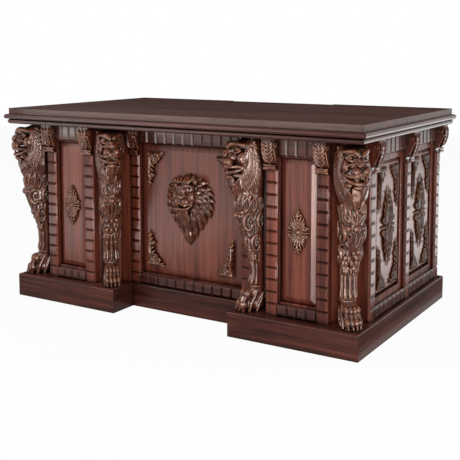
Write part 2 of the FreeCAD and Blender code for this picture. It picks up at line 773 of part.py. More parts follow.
def four_corners(name, share, start, end, low, high):
    """The same ornament turned into the four corners of a field, as a share of its width and height."""
    one = corner_shape(share[0] * (end - start), share[1] * (high - low))
    flipped = one.mirror(V(), V(1, 0, 0))
    margin = measure("corner_margin")
    return [
        (f"{name}_0", one, start + margin, high - margin),
        (f"{name}_1", flipped, end - margin, high - margin),
        (f"{name}_2", one.mirror(V(), V(0, 0, 1)), start + margin, low + margin),
        (f"{name}_3", flipped.mirror(V(), V(0, 0, 1)), end - margin, low + margin)]


FRONT_MEDALLION_SHARE = (0.76, 0.37)
SIDE_MEDALLION_SHARE = (0.65, 0.66)
CENTRE_CORNER_SHARE = (0.23, 0.32)
SIDE_CORNER_SHARE = (0.40, 0.37)

front_field_y = f"({bay_back} - panel_edge - panel_rise)"
one_set("front_medallions", carving(
    "front_medallion", medallion_shape(
        FRONT_MEDALLION_SHARE[0] * measure(f"{front_right} - {front_left} - 2*front_bevel"),
        FRONT_MEDALLION_SHARE[1] * measure(f"{front_high} - {front_low} - 2*front_bevel")),
    measure(middle_x), measure(front_field_y), measure(f"({front_low} + {front_high})/2")))

centre_corners = four_corners(
    "centre_corner", CENTRE_CORNER_SHARE,
    measure(f"centre_bevel - {centre_half}"), measure(f"{centre_half} - centre_bevel"),
    measure(f"{centre_low} + centre_bevel"), measure(f"{centre_high} - centre_bevel"))
node("centre_corner_ornaments", *[
    carving(name, shape, x, measure(centre_field_y), z) for name, shape, x, z in centre_corners])

side_field_x = measure(f"{side_back} + panel_edge + panel_rise")
side_medallion = medallion_shape(
    SIDE_MEDALLION_SHARE[0] * measure(f"{side_openings[0][1]} - {side_openings[0][0]} - 2*side_bevel"),
    SIDE_MEDALLION_SHARE[1] * measure(f"{side_high} - {side_low} - 2*side_bevel"))
side_medallions = []
side_corners = []
for number, (start, end) in enumerate(side_openings):
    side_medallions.append(carving(
        f"side_medallion_{number}", side_medallion, side_field_x, measure(f"({start} + {end})/2"),
        measure(f"({side_low} + {side_high})/2"), SIDEWAYS))
    for name, shape, y, z in four_corners(
            f"side_corner_{number}", SIDE_CORNER_SHARE,
            measure(f"{start} + side_bevel"), measure(f"{end} - side_bevel"),
            measure(f"{side_low} + side_bevel"), measure(f"{side_high} - side_bevel")):
        side_corners.append(carving(name, shape, side_field_x, y, z, SIDEWAYS))
one_set("side_medallions", *side_medallions)
one_set("side_corner_ornaments", *side_corners)


# Desk top: the slab, recessed at the back of the kneehole, on a mitred double-bead moulding and battens.

slab_board = board("slab_board", f"-{slab_x}", slab_x, f"-{slab_y}", slab_y, slab_base, "desk_height")
knee_cut = board("knee_cut", f"-{plinth_inner}", plinth_inner, f"{slab_y} - knee_recess",
                 f"{slab_y} + knee_recess", slab_base, "desk_height")
slab = doc.addObject("Part::Cut", "desktop_slab")
slab.Base = slab_board
slab.Tool = knee_cut
node("desktop_slab", slab)


def moulding(name, length, mitres, x, y, turn):
    """A straight length along local X, beads to -Y. A mitre is 1 at an outer corner, -1 at an inner."""
    bead_y = "(bead_height/2 - bead_overhang)"
    lower_bead_y = "(lower_bead_height/2 - lower_bead_overhang)"
    body = doc.addObject("PartDesign::Body", name + "_stock")
    stock = body.newObject("PartDesign::Pad", name + "_beads")
    stock.Profile = sketch(
        body, name + "_section", "YZ_Plane",
        [("moulding_depth", carcase_top), ("moulding_depth", slab_base), (bead_y, slab_base),
         (bead_y, bead_base), (lower_bead_y, bead_base), (lower_bead_y, carcase_top)],
        {2: bead_y, 4: lower_bead_y})
    bind(stock, "Length", f"2*({length} + 2*moulding_depth)")
    stock.Midplane = True
    room = doc.addObject("PartDesign::Body", name + "_room")
    cut = room.newObject("PartDesign::Pad", name + "_mitres")
    reach = "(moulding_depth + relief)"
    start = f"({mitres[0]}*{reach})"
    end = f"({mitres[1]}*{reach})"
    cut.Profile = sketch(room, name + "_plan", "XY_Plane", [
        (f"-{start}", f"-{reach}"), (f"{length} + {end}", f"-{reach}"),
        (f"{length} - {end}", reach), (start, reach)])
    bind(cut, "Length", "desk_height")
    piece = doc.addObject("Part::Common", name)
    piece.Base = body
    piece.Tool = room
    place(piece, x, y, datum, turn)
    return piece


QUARTER_BACK = FreeCAD.Rotation(V(0, 0, 1), -90)
recess_y = f"({slab_y} - knee_recess)"
wing = f"({slab_x} - {plinth_inner})"
node("moulding_front", moulding(
    "front_length", f"(2*{slab_x})", (1, 1), f"-{slab_x}", f"-{slab_y}", FreeCAD.Rotation()))
node("moulding_right", moulding("right_length", f"(2*{slab_y})", (1, 1), slab_x, f"-{slab_y}", SIDEWAYS))
node("moulding_left", moulding("left_length", f"(2*{slab_y})", (1, 1), f"-{slab_x}", slab_y, QUARTER_BACK))
node(
    "moulding_back",
    moulding("right_wing", wing, (1, 1), slab_x, slab_y, BACKWARDS),
    moulding("right_return", "knee_recess", (1, -1), plinth_inner, slab_y, QUARTER_BACK),
    moulding("recess_length", f"(2*{plinth_inner})", (-1, -1), plinth_inner, recess_y, BACKWARDS),
    moulding("left_return", "knee_recess", (-1, 1), f"-{plinth_inner}", recess_y, SIDEWAYS),
    moulding("left_wing", wing, (1, 1), f"-{plinth_inner}", slab_y, BACKWARDS))

near_x = f"({slab_x} - moulding_depth)"
near_y = f"({slab_y} - moulding_depth)"
deep_y = f"({near_y} - knee_recess)"
batten_x = f"({near_x} - batten_width)"
node(
    "top_battens",
    board("front_batten", f"-{near_x}", near_x, f"-{near_y}", centre_back, carcase_top, slab_base),
    board("right_batten", batten_x, near_x, centre_back, deep_y, carcase_top, slab_base),
    board("left_batten", f"-{near_x}", f"-{batten_x}", centre_back, deep_y, carcase_top, slab_base),
    board("back_batten", f"-{batten_x}", batten_x, f"{deep_y} - batten_width", deep_y,
          carcase_top, slab_base))


# Face frames on the user side, and the runners and guides on which the drawers slide.

bottom_z = "(plinth_height + base_rail_height)"
drawer_room = f"({opening_top} - {bottom_z} - 2*rail_height)"
bottom_height = f"(bottom_drawer_share*{drawer_room})"
middle_height = f"(middle_drawer_share*{drawer_room})"
middle_z = f"({bottom_z} + {bottom_height} + rail_height)"
top_z = f"({middle_z} + {middle_height} + rail_height)"
LEVELS = [
    ("bottom", bottom_z, bottom_height, "base_rail_height"),
    ("middle", middle_z, middle_height, "rail_height"),
    ("top", top_z, f"({opening_top} - {top_z})", "rail_height")]

face_frame = [
    board("inner_face_stile", inner_x, opening_left, frame_y, back_y, "plinth_height", carcase_top),
    board("outer_face_stile", opening_right, side_x, frame_y, back_y, "plinth_height", carcase_top),
    board("top_face_rail", opening_left, opening_right, frame_y, back_y, opening_top, carcase_top)]
runners = []
runner_end = f"({frame_y} - runner_length)"
for level, z, height, support in LEVELS:
    face_frame.append(board(
        f"{level}_face_rail", opening_left, opening_right, frame_y, back_y, f"{z} - {support}", z))
    for name, x_min, x_max, low, high in [
            ("inner_runner", board_x, f"{opening_left} + runner_bearing", f"{z} - {support}", z),
            ("outer_runner", f"{opening_right} - runner_bearing", side_back, f"{z} - {support}", z),
            ("inner_guide", board_x, opening_left, z, f"{z} + guide_height"),
            ("outer_guide", opening_right, side_back, z, f"{z} + guide_height")]:
        runners.append(board(f"{level}_{name}", x_min, x_max, runner_end, frame_y, low, high))
both_pedestals("face_frame", *face_frame)

centre_z = f"({opening_top} - centre_drawer_height)"
centre_guide_x = f"({inner_x} - runner_bearing)"
centre_bearing_x = f"({centre_guide_x} - runner_bearing)"
centre_end = f"({knee_frame_y} - centre_runner_length)"
node(
    "kneehole_rails",
    board("knee_top_rail", f"-{inner_x}", inner_x, knee_frame_y, knee_y, opening_top, carcase_top),
    board("knee_base_rail", f"-{inner_x}", inner_x, knee_frame_y, knee_y, f"{centre_z} - rail_height",
          centre_z))
one_set("drawer_runners", *runners, centre=[
    board("knee_right_runner", centre_bearing_x, inner_x, centre_end, knee_frame_y,
          f"{centre_z} - rail_height", centre_z),
    board("knee_left_runner", f"-{inner_x}", f"-{centre_bearing_x}", centre_end, knee_frame_y,
          f"{centre_z} - rail_height", centre_z),
    board("knee_right_guide", centre_guide_x, inner_x, centre_end, knee_frame_y,
          centre_z, f"{centre_z} + guide_height"),
    board("knee_left_guide", f"-{inner_x}", f"-{centre_guide_x}", centre_end, knee_frame_y,
          centre_z, f"{centre_z} + guide_height")])


# Drawers: a raised front with two turned knobs and an open box of two sides, a back and a floor.

def drawer_box(name, x_min, x_max, face, length, z, height):
    """The box behind the front. It rides a slide gap above its runners."""
    joint_y = f"({face} - drawer_front)"
    end_y = f"({joint_y} - {length})"
    left = f"({x_min} + drawer_side)"
    right = f"({x_max} - drawer_side)"
    base = f"({z} + slide_gap)"
    rim = f"({z} + {height} - drawer_headroom)"
    floor = f"({base} + drawer_floor_lift)"
    return [
        board(name + "_left", x_min, left, end_y, joint_y, base, rim),
        board(name + "_right", right, x_max, end_y, joint_y, base, rim),
        board(name + "_back", left, right, end_y, f"{end_y} + drawer_side", base, rim),
        board(name + "_floor", left, right, f"{end_y} + drawer_side", joint_y, floor,
              f"{floor} + drawer_floor")]


def knob(name, x, y, z):
    """A turned wooden knob: foot, neck and rounded head."""
    body = doc.addObject("PartDesign::Body", name)
    foot = "0.7*knob_diameter/2"
    neck = "knob_neck/2"
    head = "knob_diameter/2"
    turning = body.newObject("PartDesign::Revolution", name + "_turning")
    turning.Profile = sketch(
        body, name + "_profile", "XY_Plane",
        [(datum, datum), (foot, datum), (foot, "0.15*knob_length"),
         (neck, "0.3*knob_length"), (neck, "0.42*knob_length"), (f"0.75*{head}", "0.5*knob_length"),
         (f"0.5*{head}", "knob_length"), (datum, "knob_length")],
        {5: f"0.3*{head}"})
    turning.ReferenceAxis = (origin_part(body, "Y_Axis"), [""])
    turning.Angle = 360
    body.Tip = turning
    place(body, x, y, z)
    return body


def drawer_front(name, x_min, x_max, face, z, height):
    return raised_panel(
        name, f"-{x_max}", f"-{x_min}", f"({z} + drawer_gap)", f"({z} + {height} - drawer_gap)",
        f"(drawer_front - {face})", "drawer_front", "drawer_rise", "drawer_bevel", BACKWARDS)


drawer_left = f"({opening_left} + drawer_gap)"
drawer_right = f"({opening_right} - drawer_gap)"
drawer_middle = f"(({opening_left} + {opening_right})/2)"
for level, z, height, support in LEVELS:
    drawer = f"{level}_drawer"
    both_pedestals(drawer + "_front", drawer_front(
        drawer + "_front", drawer_left, drawer_right, back_y, z, height))
    both_pedestals(drawer + "_box", *drawer_box(
        drawer + "_box", drawer_left, drawer_right, back_y, "drawer_length", z, height))
    pull = knob(
        drawer + "_knob", f"{drawer_middle} + knob_share*({drawer_right} - {drawer_left})",
        f"{back_y} + drawer_rise", f"{z} + {height}/2")
    both_pedestals(drawer + "_knobs", pull, reflected(pull, drawer_middle))

centre_front_x = f"({inner_x} - drawer_gap)"
centre_box_x = f"({centre_guide_x} - drawer_gap)"
node("centre_drawer_front", drawer_front(
    "centre_drawer_front", f"(-{centre_front_x})", centre_front_x, knee_y, centre_z, "centre_drawer_height"))
node("centre_drawer_box", *drawer_box(
    "centre_drawer_box", f"(-{centre_box_x})", centre_box_x, knee_y, "centre_drawer_length", centre_z,
    "centre_drawer_height"))
centre_pull = knob(
    "centre_drawer_knob", f"knob_share*2*{centre_front_x}", f"{knee_y} + drawer_rise",
    f"{centre_z} + centre_drawer_height/2")
node("centre_drawer_knobs", centre_pull, reflected(centre_pull, datum))


# Every object must have been made without error before the pieces are written.

doc.recompute()
for thing in doc.Objects:
    if "Invalid" in thing.State or "Error" in thing.State:
        raise RuntimeError("not made: " + thing.Name)
os.makedirs("parts", exist_ok=True)
for name, piece in nodes.items():
    if piece.Shape.isNull() or not piece.Shape.isValid() or not piece.Shape.Solids:
        raise RuntimeError("bad shape: " + name)
    piece.Shape.exportStep(f"parts/{name}.step")
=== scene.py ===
import json
import math
import bpy
from mathutils import Matrix


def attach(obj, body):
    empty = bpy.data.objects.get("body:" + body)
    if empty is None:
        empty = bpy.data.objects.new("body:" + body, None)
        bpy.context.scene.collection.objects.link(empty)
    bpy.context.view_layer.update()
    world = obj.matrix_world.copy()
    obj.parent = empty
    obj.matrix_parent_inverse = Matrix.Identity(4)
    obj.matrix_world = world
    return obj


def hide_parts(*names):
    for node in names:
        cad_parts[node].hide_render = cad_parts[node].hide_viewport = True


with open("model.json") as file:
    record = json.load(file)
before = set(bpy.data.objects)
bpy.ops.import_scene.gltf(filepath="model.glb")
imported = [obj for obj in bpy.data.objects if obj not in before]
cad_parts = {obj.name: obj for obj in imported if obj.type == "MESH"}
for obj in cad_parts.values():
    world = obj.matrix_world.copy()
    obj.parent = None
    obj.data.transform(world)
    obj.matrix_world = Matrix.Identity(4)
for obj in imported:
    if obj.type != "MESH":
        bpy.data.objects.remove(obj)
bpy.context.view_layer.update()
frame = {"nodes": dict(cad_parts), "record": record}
nodes = frame["nodes"]

# Studio: a pale paper floor and a white surround, with soft boxes at the right of the camera, behind the
# right end of the desk and high over the left. Cards give the lacquer its sheen and light nothing else. A
# dark cloth flag behind the top keeps white out of the gloss, and a dark strip along the right plinth keeps
# it out too and is a painted shadow, the desk's shade on the floor as the plinth's gloss shows it.
scene = bpy.context.scene
scene.view_settings.view_transform = "Standard"


class Value:
    """A number that changes over a surface, so that sums of such numbers are written as sums."""

    def __init__(self, finish, socket):
        self.finish = finish
        self.socket = socket

    def _sum(self, operation, first, second):
        return self.finish.node("ShaderNodeMath", {"operation": operation}, {0: first, 1: second})

    def __add__(self, other):
        return self._sum("ADD", self, other)

    __radd__ = __add__

    def __rsub__(self, other):
        return self._sum("SUBTRACT", other, self)

    def __mul__(self, other):
        return self._sum("MULTIPLY", self, other)

    __rmul__ = __mul__


class Finish:
    """A material, or the surround, and its nodes."""

    def __init__(self, name, world=False):
        self.material = (bpy.data.worlds if world else bpy.data.materials).new(name)
        self.material.use_nodes = True
        self.tree = self.material.node_tree
        self.tree.nodes.clear()

    def node(self, kind, settings, inputs, output=0):
        """A new node with its settings, then the values or links of its sockets."""
        made = self.tree.nodes.new(kind)
        for name, setting in settings.items():
            if name == "stops":
                made.color_ramp.elements.remove(made.color_ramp.elements[0])
                made.color_ramp.elements[0].position = setting[0][0]
                made.color_ramp.elements[0].color = (*setting[0][1], 1)
                for place, colour in setting[1:]:
                    made.color_ramp.elements.new(place).color = (*colour, 1)
            else:
                setattr(made, name, setting)
        for key, content in inputs.items():
            if isinstance(content, Value):
                self.tree.links.new(content.socket, made.inputs[key])
            elif isinstance(content, tuple) and made.inputs[key].type == "RGBA":
                made.inputs[key].default_value = (*content, 1)
            else:
                made.inputs[key].default_value = content
        return Value(self, made.outputs[output]) if made.outputs else None

    def surface(self, shader, output="ShaderNodeOutputMaterial"):
        """Show a shader on the material, or all round the scene."""
        self.node(output, {}, {"Surface": shader})


def clamped(value, low, high):
    """0 below the low value, 1 above the high one and a smooth step between them."""
    return value.finish.node("ShaderNodeMapRange", {"interpolation_type": "SMOOTHSTEP"},
                             {0: value, 1: low, 2: high, 3: 0.0, 4: 1.0})


def seen_directly(finish):
    """1 where the camera or the gloss looks straight at a surface, and 0 where it only gives light."""
    camera, gloss, glass = (finish.node("ShaderNodeLightPath", {}, {}, f"Is {kind} Ray")
                            for kind in ("Camera", "Glossy", "Transmission"))
    return camera + gloss + glass


FLOOR_SIDE = 14.0
FLOOR_GLOW = 0.95
FILL_STRENGTH = 0.28
WHITE = (1.0, 1.0, 1.0)
bpy.ops.object.select_all(action="DESELECT")
bpy.ops.mesh.primitive_grid_add(x_subdivisions=4, y_subdivisions=4, size=FLOOR_SIDE, location=(0, 0, 0))
floor = bpy.context.object
floor.name = "studio_floor"
paper = Finish("studio_paper")
spot = paper.node("ShaderNodeTexCoord", {}, {}, "Object")
fibre = paper.node("ShaderNodeTexNoise", {}, {"Vector": spot, "Scale": 60.0, "Detail": 3.0})
lit_paper = paper.node("ShaderNodeBsdfDiffuse", {}, {"Color": paper.node(
    "ShaderNodeMix", {"data_type": "RGBA"},
    {0: fibre, 6: (0.80, 0.80, 0.80), 7: (0.84, 0.84, 0.84)}, 2)})
white_paper = paper.node("ShaderNodeEmission", {}, {"Color": WHITE, "Strength": 1.0})
paper.surface(paper.node("ShaderNodeMixShader", {}, {
    0: seen_directly(paper) * FLOOR_GLOW, 1: lit_paper, 2: white_paper}))
floor.data.materials.append(paper.material)

surround = Finish("studio_surround", world=True)
scene.world = surround.material
fill = surround.node("ShaderNodeBackground", {}, {"Color": WHITE, "Strength": FILL_STRENGTH})
backing = surround.node("ShaderNodeBackground", {}, {"Color": WHITE, "Strength": 1.0})
surround.surface(surround.node("ShaderNodeMixShader", {}, {
    0: seen_directly(surround), 1: fill, 2: backing}), "ShaderNodeOutputWorld")


def soft_box(name, place, aim, width, height, power):
    """A rectangular soft light at a place, turned towards a point. Metres and watts."""
    bpy.ops.object.light_add(type="AREA", location=place)
    lamp = bpy.context.object
    lamp.name = name
    lamp.data.shape = "RECTANGLE"
    lamp.data.size = width
    lamp.data.size_y = height
    lamp.data.energy = power
    across, ahead, up = (end - start for start, end in zip(place, aim))
    lamp.rotation_euler = (math.pi / 2 + math.atan2(up, math.hypot(across, ahead)), 0,
                           math.atan2(-across, ahead))
    lamp.visible_camera = False
    return lamp


def sheen_card(name, place, aim, width, height, power):
    """A soft box that is only seen in the gloss of the lacquer."""
    card = soft_box(name, place, aim, width, height, power)
    card.visible_diffuse = False


soft_box("right_soft_box", (2.3, -2.6, 1.6), (0.4, -0.3, 0.4), 2.4, 2.2, 80)
soft_box("end_soft_box", (2.6, 2.6, 1.3), (0.8, 0.1, 0.3), 2.6, 2.4, 17)
soft_box("left_soft_box", (-2.2, -2.6, 2.6), (0.0, -0.2, 0.4), 2.4, 2.0, 62)
sheen_card("right_card", (2.33, -1.61, 0.38), (0.28, -0.06, 0.38), 1.6, 0.74, 46)
sheen_card("front_card", (0.78, -2.1, 0.38), (0.7, -0.4, 0.38), 0.7, 0.74, 56)
sheen_card("front_floor_card", (1.0, -1.4, 0.004), (1.0, -1.401, 2.0), 0.8, 1.2, 36)
sheen_card("end_floor_card", (1.75, 2.05, 0.004), (1.75, 2.049, 2.0), 1.5, 3.9, 54)
sheen_card("left_floor_card", (-1.9, -2.2, 0.004), (-1.9, -2.201, 2.0), 2.6, 2.4, 80)
sheen_card("fascia_card", (-1.0, -2.1, 0.66), (0.0, -0.45, 0.76), 2.0, 0.3, 20)

cloth = Finish("studio_flag_cloth")
spot = cloth.node("ShaderNodeTexCoord", {}, {}, "Object")
weave = cloth.node("ShaderNodeTexNoise", {}, {"Vector": spot, "Scale": 90.0})
cloth.surface(cloth.node("ShaderNodeBsdfDiffuse", {}, {"Color": cloth.node(
    "ShaderNodeMix", {"data_type": "RGBA"}, {0: weave, 6: (0.05, 0.05, 0.05), 7: (0.07, 0.07, 0.07)}, 2)}))


def dark_sheet(name, place, turn, size):
    """A sheet of dark cloth that is only seen in the gloss of the lacquer."""
    bpy.ops.object.select_all(action="DESELECT")
    bpy.ops.mesh.primitive_grid_add(x_subdivisions=4, y_subdivisions=4, size=1, location=place, rotation=turn)
    sheet = bpy.context.object
    sheet.name = name
    bpy.ops.transform.resize(value=size)
    sheet.data.materials.append(cloth.material)
    sheet.visible_camera = False
    sheet.visible_diffuse = False
    sheet.visible_shadow = False
    return sheet


flag = dark_sheet("studio_flag", (-2.4, 2.2, 1.3), (math.pi / 2, 0, 0), (6.4, 1, 2.4))
# Painted shadow: the dark strip on the floor along the right plinth stands for the desk's shade on the floor,
# seen only in the plinth's gloss.
floor_shadow_flag = dark_sheet("studio_floor_shadow_flag", (0.875, 0.35, 0.003), (0, 0, 0), (0.15, 1.9, 1))

CAMERA_PLACE = (1.85814, -2.97399, 1.02850)
CAMERA_DIP = 0.10276
CAMERA_TURN = 0.54024
bpy.ops.object.camera_add(location=CAMERA_PLACE, rotation=(math.pi / 2 - CAMERA_DIP, 0, CAMERA_TURN))
camera = bpy.context.object
camera.data.sensor_width = 36.0
camera.data.lens = 66.878
camera.data.shift_x = -0.0326
camera.data.shift_y = -0.20
scene.camera = camera

# Plinths: two boxes of mahogany boards with mitred corners and a lower one between them under the
# modesty panel, stained red-brown and lacquered to a gloss.
STRETCH = {"x": (0.05, 1, 1), "y": (1, 0.05, 1), "z": (1, 1, 0.05)}
PORE_STAIN = (0.32, 0.22, 0.20)
# The colour of the painted shade in the grooves and hollows of the case.
HOLLOW_PAINTED_SHADE = (0.13, 0.09, 0.08)
WARM_GLOSS = (1.0, 0.80, 0.70)


def mahogany(name, along, deep, middle, light, rough=0.2, gloss=0.22, blur=0.07, ease=0.002,
             hollow=0.28, bare=0.88):
    """Lacquered mahogany with dark pores and soft lengthwise streaks. Its grain runs along an axis, and along
    a second one on the faces that look along the first. Painted shade darkens what is more closed in than
    bare, and most where it is as closed in as hollow."""
    wood = Finish(name)
    spot = wood.node("ShaderNodeTexCoord", {}, {}, "Object")
    lengthwise = wood.node("ShaderNodeMapping", {}, {"Vector": spot, "Scale": STRETCH[along[0]]})
    if len(along) == 2:
        facing = wood.node("ShaderNodeNewGeometry", {}, {}, "True Normal")
        endwise = wood.node("ShaderNodeSeparateXYZ", {}, {0: facing}, along[0].upper())
        second = wood.node("ShaderNodeMapping", {}, {"Vector": spot, "Scale": STRETCH[along[1]]})
        lengthwise = wood.node(
            "ShaderNodeMix", {"data_type": "VECTOR"},
            {0: clamped(endwise * endwise, 0.4, 0.6), 4: lengthwise, 5: second}, 1)
    figure = wood.node("ShaderNodeTexNoise", {}, {
        "Vector": lengthwise, "Scale": 64.0, "Detail": 5.0, "Roughness": 0.6, "Distortion": 0.4})
    broad = wood.node("ShaderNodeTexNoise", {}, {
        "Vector": lengthwise, "Scale": 17.0, "Detail": 2.0, "Roughness": 0.5})
    pores = wood.node("ShaderNodeTexNoise", {}, {
        "Vector": lengthwise, "Scale": 420.0, "Detail": 2.0, "Roughness": 0.5})
    tone = clamped(figure * 0.6 + broad * 0.4, 0.32, 0.70)
    colour = wood.node("ShaderNodeValToRGB", {"stops": [(0.0, deep), (0.5, middle), (1.0, light)]}, {0: tone})
    dark_pores = 1 - clamped(pores, 0.30, 0.44)
    darkened = wood.node(
        "ShaderNodeMix", {"data_type": "RGBA", "blend_type": "MULTIPLY"},
        {0: dark_pores * 0.55, 6: colour, 7: PORE_STAIN}, 2)
    # Painted shade: the wood is darker where ambient occlusion finds it closed in.
    open_air = wood.node("ShaderNodeAmbientOcclusion", {"samples": 6}, {"Distance": 0.022}, 1)
    clear = clamped(open_air, hollow, bare)
    shaded = wood.node(
        "ShaderNodeMix", {"data_type": "RGBA", "blend_type": "MULTIPLY"},
        {0: 1 - clear, 6: darkened, 7: HOLLOW_PAINTED_SHADE}, 2)
    eased_edges = wood.node("ShaderNodeBevel", {"samples": 4}, {"Radius": ease})
    relief = wood.node("ShaderNodeBump", {}, {
        "Strength": 0.12, "Distance": 0.0004, "Height": pores + figure * 0.5, "Normal": eased_edges})
    wood.surface(wood.node("ShaderNodeBsdfPrincipled", {}, {
        "Base Color": shaded, "Roughness": rough + 0.10 * broad + 0.06 * dark_pores, "Normal": relief,
        "Specular IOR Level": 0.11, "Specular Tint": WARM_GLOSS,
        "Coat Weight": gloss * clear, "Coat Roughness": blur, "Coat IOR": 1.5}))
    return wood.material


def finish(material, *names):
    """Give CAD nodes their finish."""
    for name in names:
        mesh = nodes[name].data
        mesh.materials.clear()
        mesh.materials.append(material)


DEEP_RED = (0.020, 0.0055, 0.0040)
RED_BROWN = (0.064, 0.0165, 0.0112)
WARM_RED = (0.112, 0.031, 0.0205)
case_across = mahogany("case_mahogany_across", "x", DEEP_RED, RED_BROWN, WARM_RED)
case_endwise = mahogany("case_mahogany_endwise", "y", DEEP_RED, RED_BROWN, WARM_RED)
plinth_across = mahogany("plinth_mahogany", "xy", DEEP_RED, RED_BROWN, WARM_RED, rough=0.3, gloss=0.1)
finish(plinth_across, "left_plinth", "right_plinth", "centre_plinth")

# Pedestal cases: frames of stiles and rails, corner boards, posts, pilasters and friezes of bevelled blocks,
# all of solid mahogany, glued up and lacquered. The edges of the blocks are eased more than the others, and
# their grooves get more painted shade.
BLOCK_EASE = 0.006
BLOCK_HOLLOW = 0.50
BLOCK_BARE = 0.98
UPRIGHT_DEEP = (0.036, 0.0085, 0.0050)
UPRIGHT_RED = (0.124, 0.0280, 0.0155)
UPRIGHT_LIGHT = (0.195, 0.0490, 0.0275)
case_upright = mahogany("case_mahogany_upright", "z", UPRIGHT_DEEP, UPRIGHT_RED, UPRIGHT_LIGHT, gloss=0.10)
finish(case_upright, "left_front_frame", "right_front_frame", "left_side_frame", "right_side_frame",
       "left_inner_side", "right_inner_side", "corner_boards", "corner_posts", "centre_frame",
       "left_face_frame", "right_face_frame")
finish(case_across, "kneehole_rails")
block_upright = mahogany("block_mahogany_upright", "z", UPRIGHT_DEEP, UPRIGHT_RED, UPRIGHT_LIGHT,
                         ease=BLOCK_EASE, hollow=BLOCK_HOLLOW, bare=BLOCK_BARE)
block_across = mahogany("block_mahogany_across", "x", DEEP_RED, RED_BROWN, WARM_RED, gloss=0.32,
                        ease=BLOCK_EASE, hollow=BLOCK_HOLLOW, bare=BLOCK_BARE)
finish(block_upright, "front_pilasters", "side_pilasters", "centre_pilasters")
finish(block_across, "friezes")

# Raised panels: fielded mahogany boards with bevelled edges, held loose in the grooves of the frames.
PANEL_DEEP = (0.066, 0.0155, 0.0095)
PANEL_RED = (0.140, 0.034, 0.0205)
PANEL_LIGHT = (0.200, 0.055, 0.035)
panel_upright = mahogany("panel_mahogany_upright", "z", PANEL_DEEP, PANEL_RED, PANEL_LIGHT, blur=0.24)
panel_across = mahogany("panel_mahogany_across", "x", PANEL_DEEP, PANEL_RED, PANEL_LIGHT)
finish(panel_upright, "front_panels", "side_panels", "centre_panel")

# Lion legs: one carved block of mahogany for each front corner, standing on the plinth in front of the
# corner posts. A maned head with an open mouth, a leafed chest with scrolls, a fluted shin and a paw.
# Points are in millimetres: across, outwards and up from the middle of the back of the block's foot.
MM = 0.001
lumps = []
strands = []


def lump(across, outwards, up, wide, deep, tall, turn=(0, 0, 0)):
    """A rounded mass of wood."""
    lumps.append(((across * MM, -outwards * MM, up * MM), (wide * MM, deep * MM, tall * MM), turn))


def strand(points, thicknesses):
    """A lock, leaf rib, flute or scroll that follows points and tapers between thicknesses."""
    strands.append(([(a * MM, -o * MM, u * MM) for a, o, u in points], [size * MM for size in thicknesses]))


def between(points, share):
    """A point along a run of points, at a share of their number."""
    spot = max(0.0, min(share, 1.0)) * (len(points) - 1)
    first = min(int(spot), len(points) - 2)
    part = spot - first
    return tuple(a + (b - a) * part for a, b in zip(points[first], points[first + 1]))


def apply(piece, kind, **settings):
    """Add a modifier to a piece and apply it."""
    bpy.context.view_layer.objects.active = piece
    modifier = piece.modifiers.new(kind.lower(), kind)
    for name, setting in settings.items():
        setattr(modifier, name, setting)
    bpy.ops.object.modifier_apply(modifier=modifier.name)


def carve(name, grid, keep, column=(), foot=None):
    """Join the lumps and strands gathered so far, and a rounded column, to one smooth carved solid."""
    bpy.ops.object.select_all(action="DESELECT")
    place, size, turn = lumps[0]
    bpy.ops.mesh.primitive_uv_sphere_add(
        segments=20, ring_count=12, radius=1, location=place, rotation=turn, scale=size)
    piece = bpy.context.object
    piece.name = name
    bpy.ops.object.transform_apply(location=True, rotation=True, scale=True)
    bpy.ops.object.mode_set(mode="EDIT")
    for place, size, turn in lumps[1:]:
        bpy.ops.mesh.primitive_uv_sphere_add(
            segments=20, ring_count=12, radius=1, location=place, rotation=turn, scale=size)
    for number, (up, front, half) in enumerate(column):
        deep = (front - LEG_BACK) / 2
        middle = (front + LEG_BACK) / 2
        if number == 0:
            bpy.ops.mesh.select_all(action="DESELECT")
            bpy.ops.mesh.primitive_plane_add(size=2, location=(0, -middle * MM, up * MM))
            bpy.ops.transform.resize(value=(half * MM, deep * MM, 1),
                                     center_override=(0, -middle * MM, up * MM))
            bpy.ops.mesh.bevel(offset_type="PERCENT", offset_pct=32, segments=4, affect="VERTICES")
        else:
            bpy.ops.mesh.extrude_region_move(TRANSFORM_OT_translate={
                "value": (0, (before[0] - middle) * MM, (up - before[1]) * MM)})
            bpy.ops.transform.resize(value=(half / before[2], deep / before[3], 1),
                                     center_override=(0, -middle * MM, up * MM))
        before = middle, up, half, deep
    bpy.ops.object.mode_set(mode="OBJECT")
    cut = bpy.data.curves.new(name + "_strands", "CURVE")
    cut.dimensions = "3D"
    cut.bevel_depth = 1.0
    cut.bevel_resolution = 2
    cut.resolution_u = 5
    cut.use_fill_caps = True
    for points, thicknesses in strands:
        spline = cut.splines.new("NURBS")
        spline.points.add(len(points) - 1)
        for number, point in enumerate(points):
            spline.points[number].co = (*point, 1)
            spline.points[number].radius = between(
                [(size,) for size in thicknesses], number / (len(points) - 1))[0]
        spline.order_u = 3
        spline.use_endpoint_u = True
    bundle = bpy.data.objects.new(name + "_strands", cut)
    scene.collection.objects.link(bundle)
    bpy.ops.object.select_all(action="DESELECT")
    bundle.select_set(True)
    bpy.context.view_layer.objects.active = bundle
    bpy.ops.object.convert(target="MESH")
    piece.select_set(True)
    bpy.context.view_layer.objects.active = piece
    bpy.ops.object.join()
    apply(piece, "REMESH", mode="VOXEL", voxel_size=grid * MM, adaptivity=0.0, use_smooth_shade=True)
    apply(piece, "SMOOTH", factor=0.5, iterations=1)
    if foot is not None:
        bpy.ops.object.mode_set(mode="EDIT")
        bpy.ops.mesh.select_all(action="SELECT")
        bpy.ops.mesh.bisect(plane_co=foot[0], plane_no=foot[1], use_fill=True, clear_outer=True)
        bpy.ops.object.mode_set(mode="OBJECT")
    if keep < 1:
        apply(piece, "DECIMATE", ratio=keep)
    bpy.ops.object.select_all(action="DESELECT")
    piece.select_set(True)
    bpy.ops.object.shade_smooth()
    lumps.clear()
    strands.clear()
    return piece


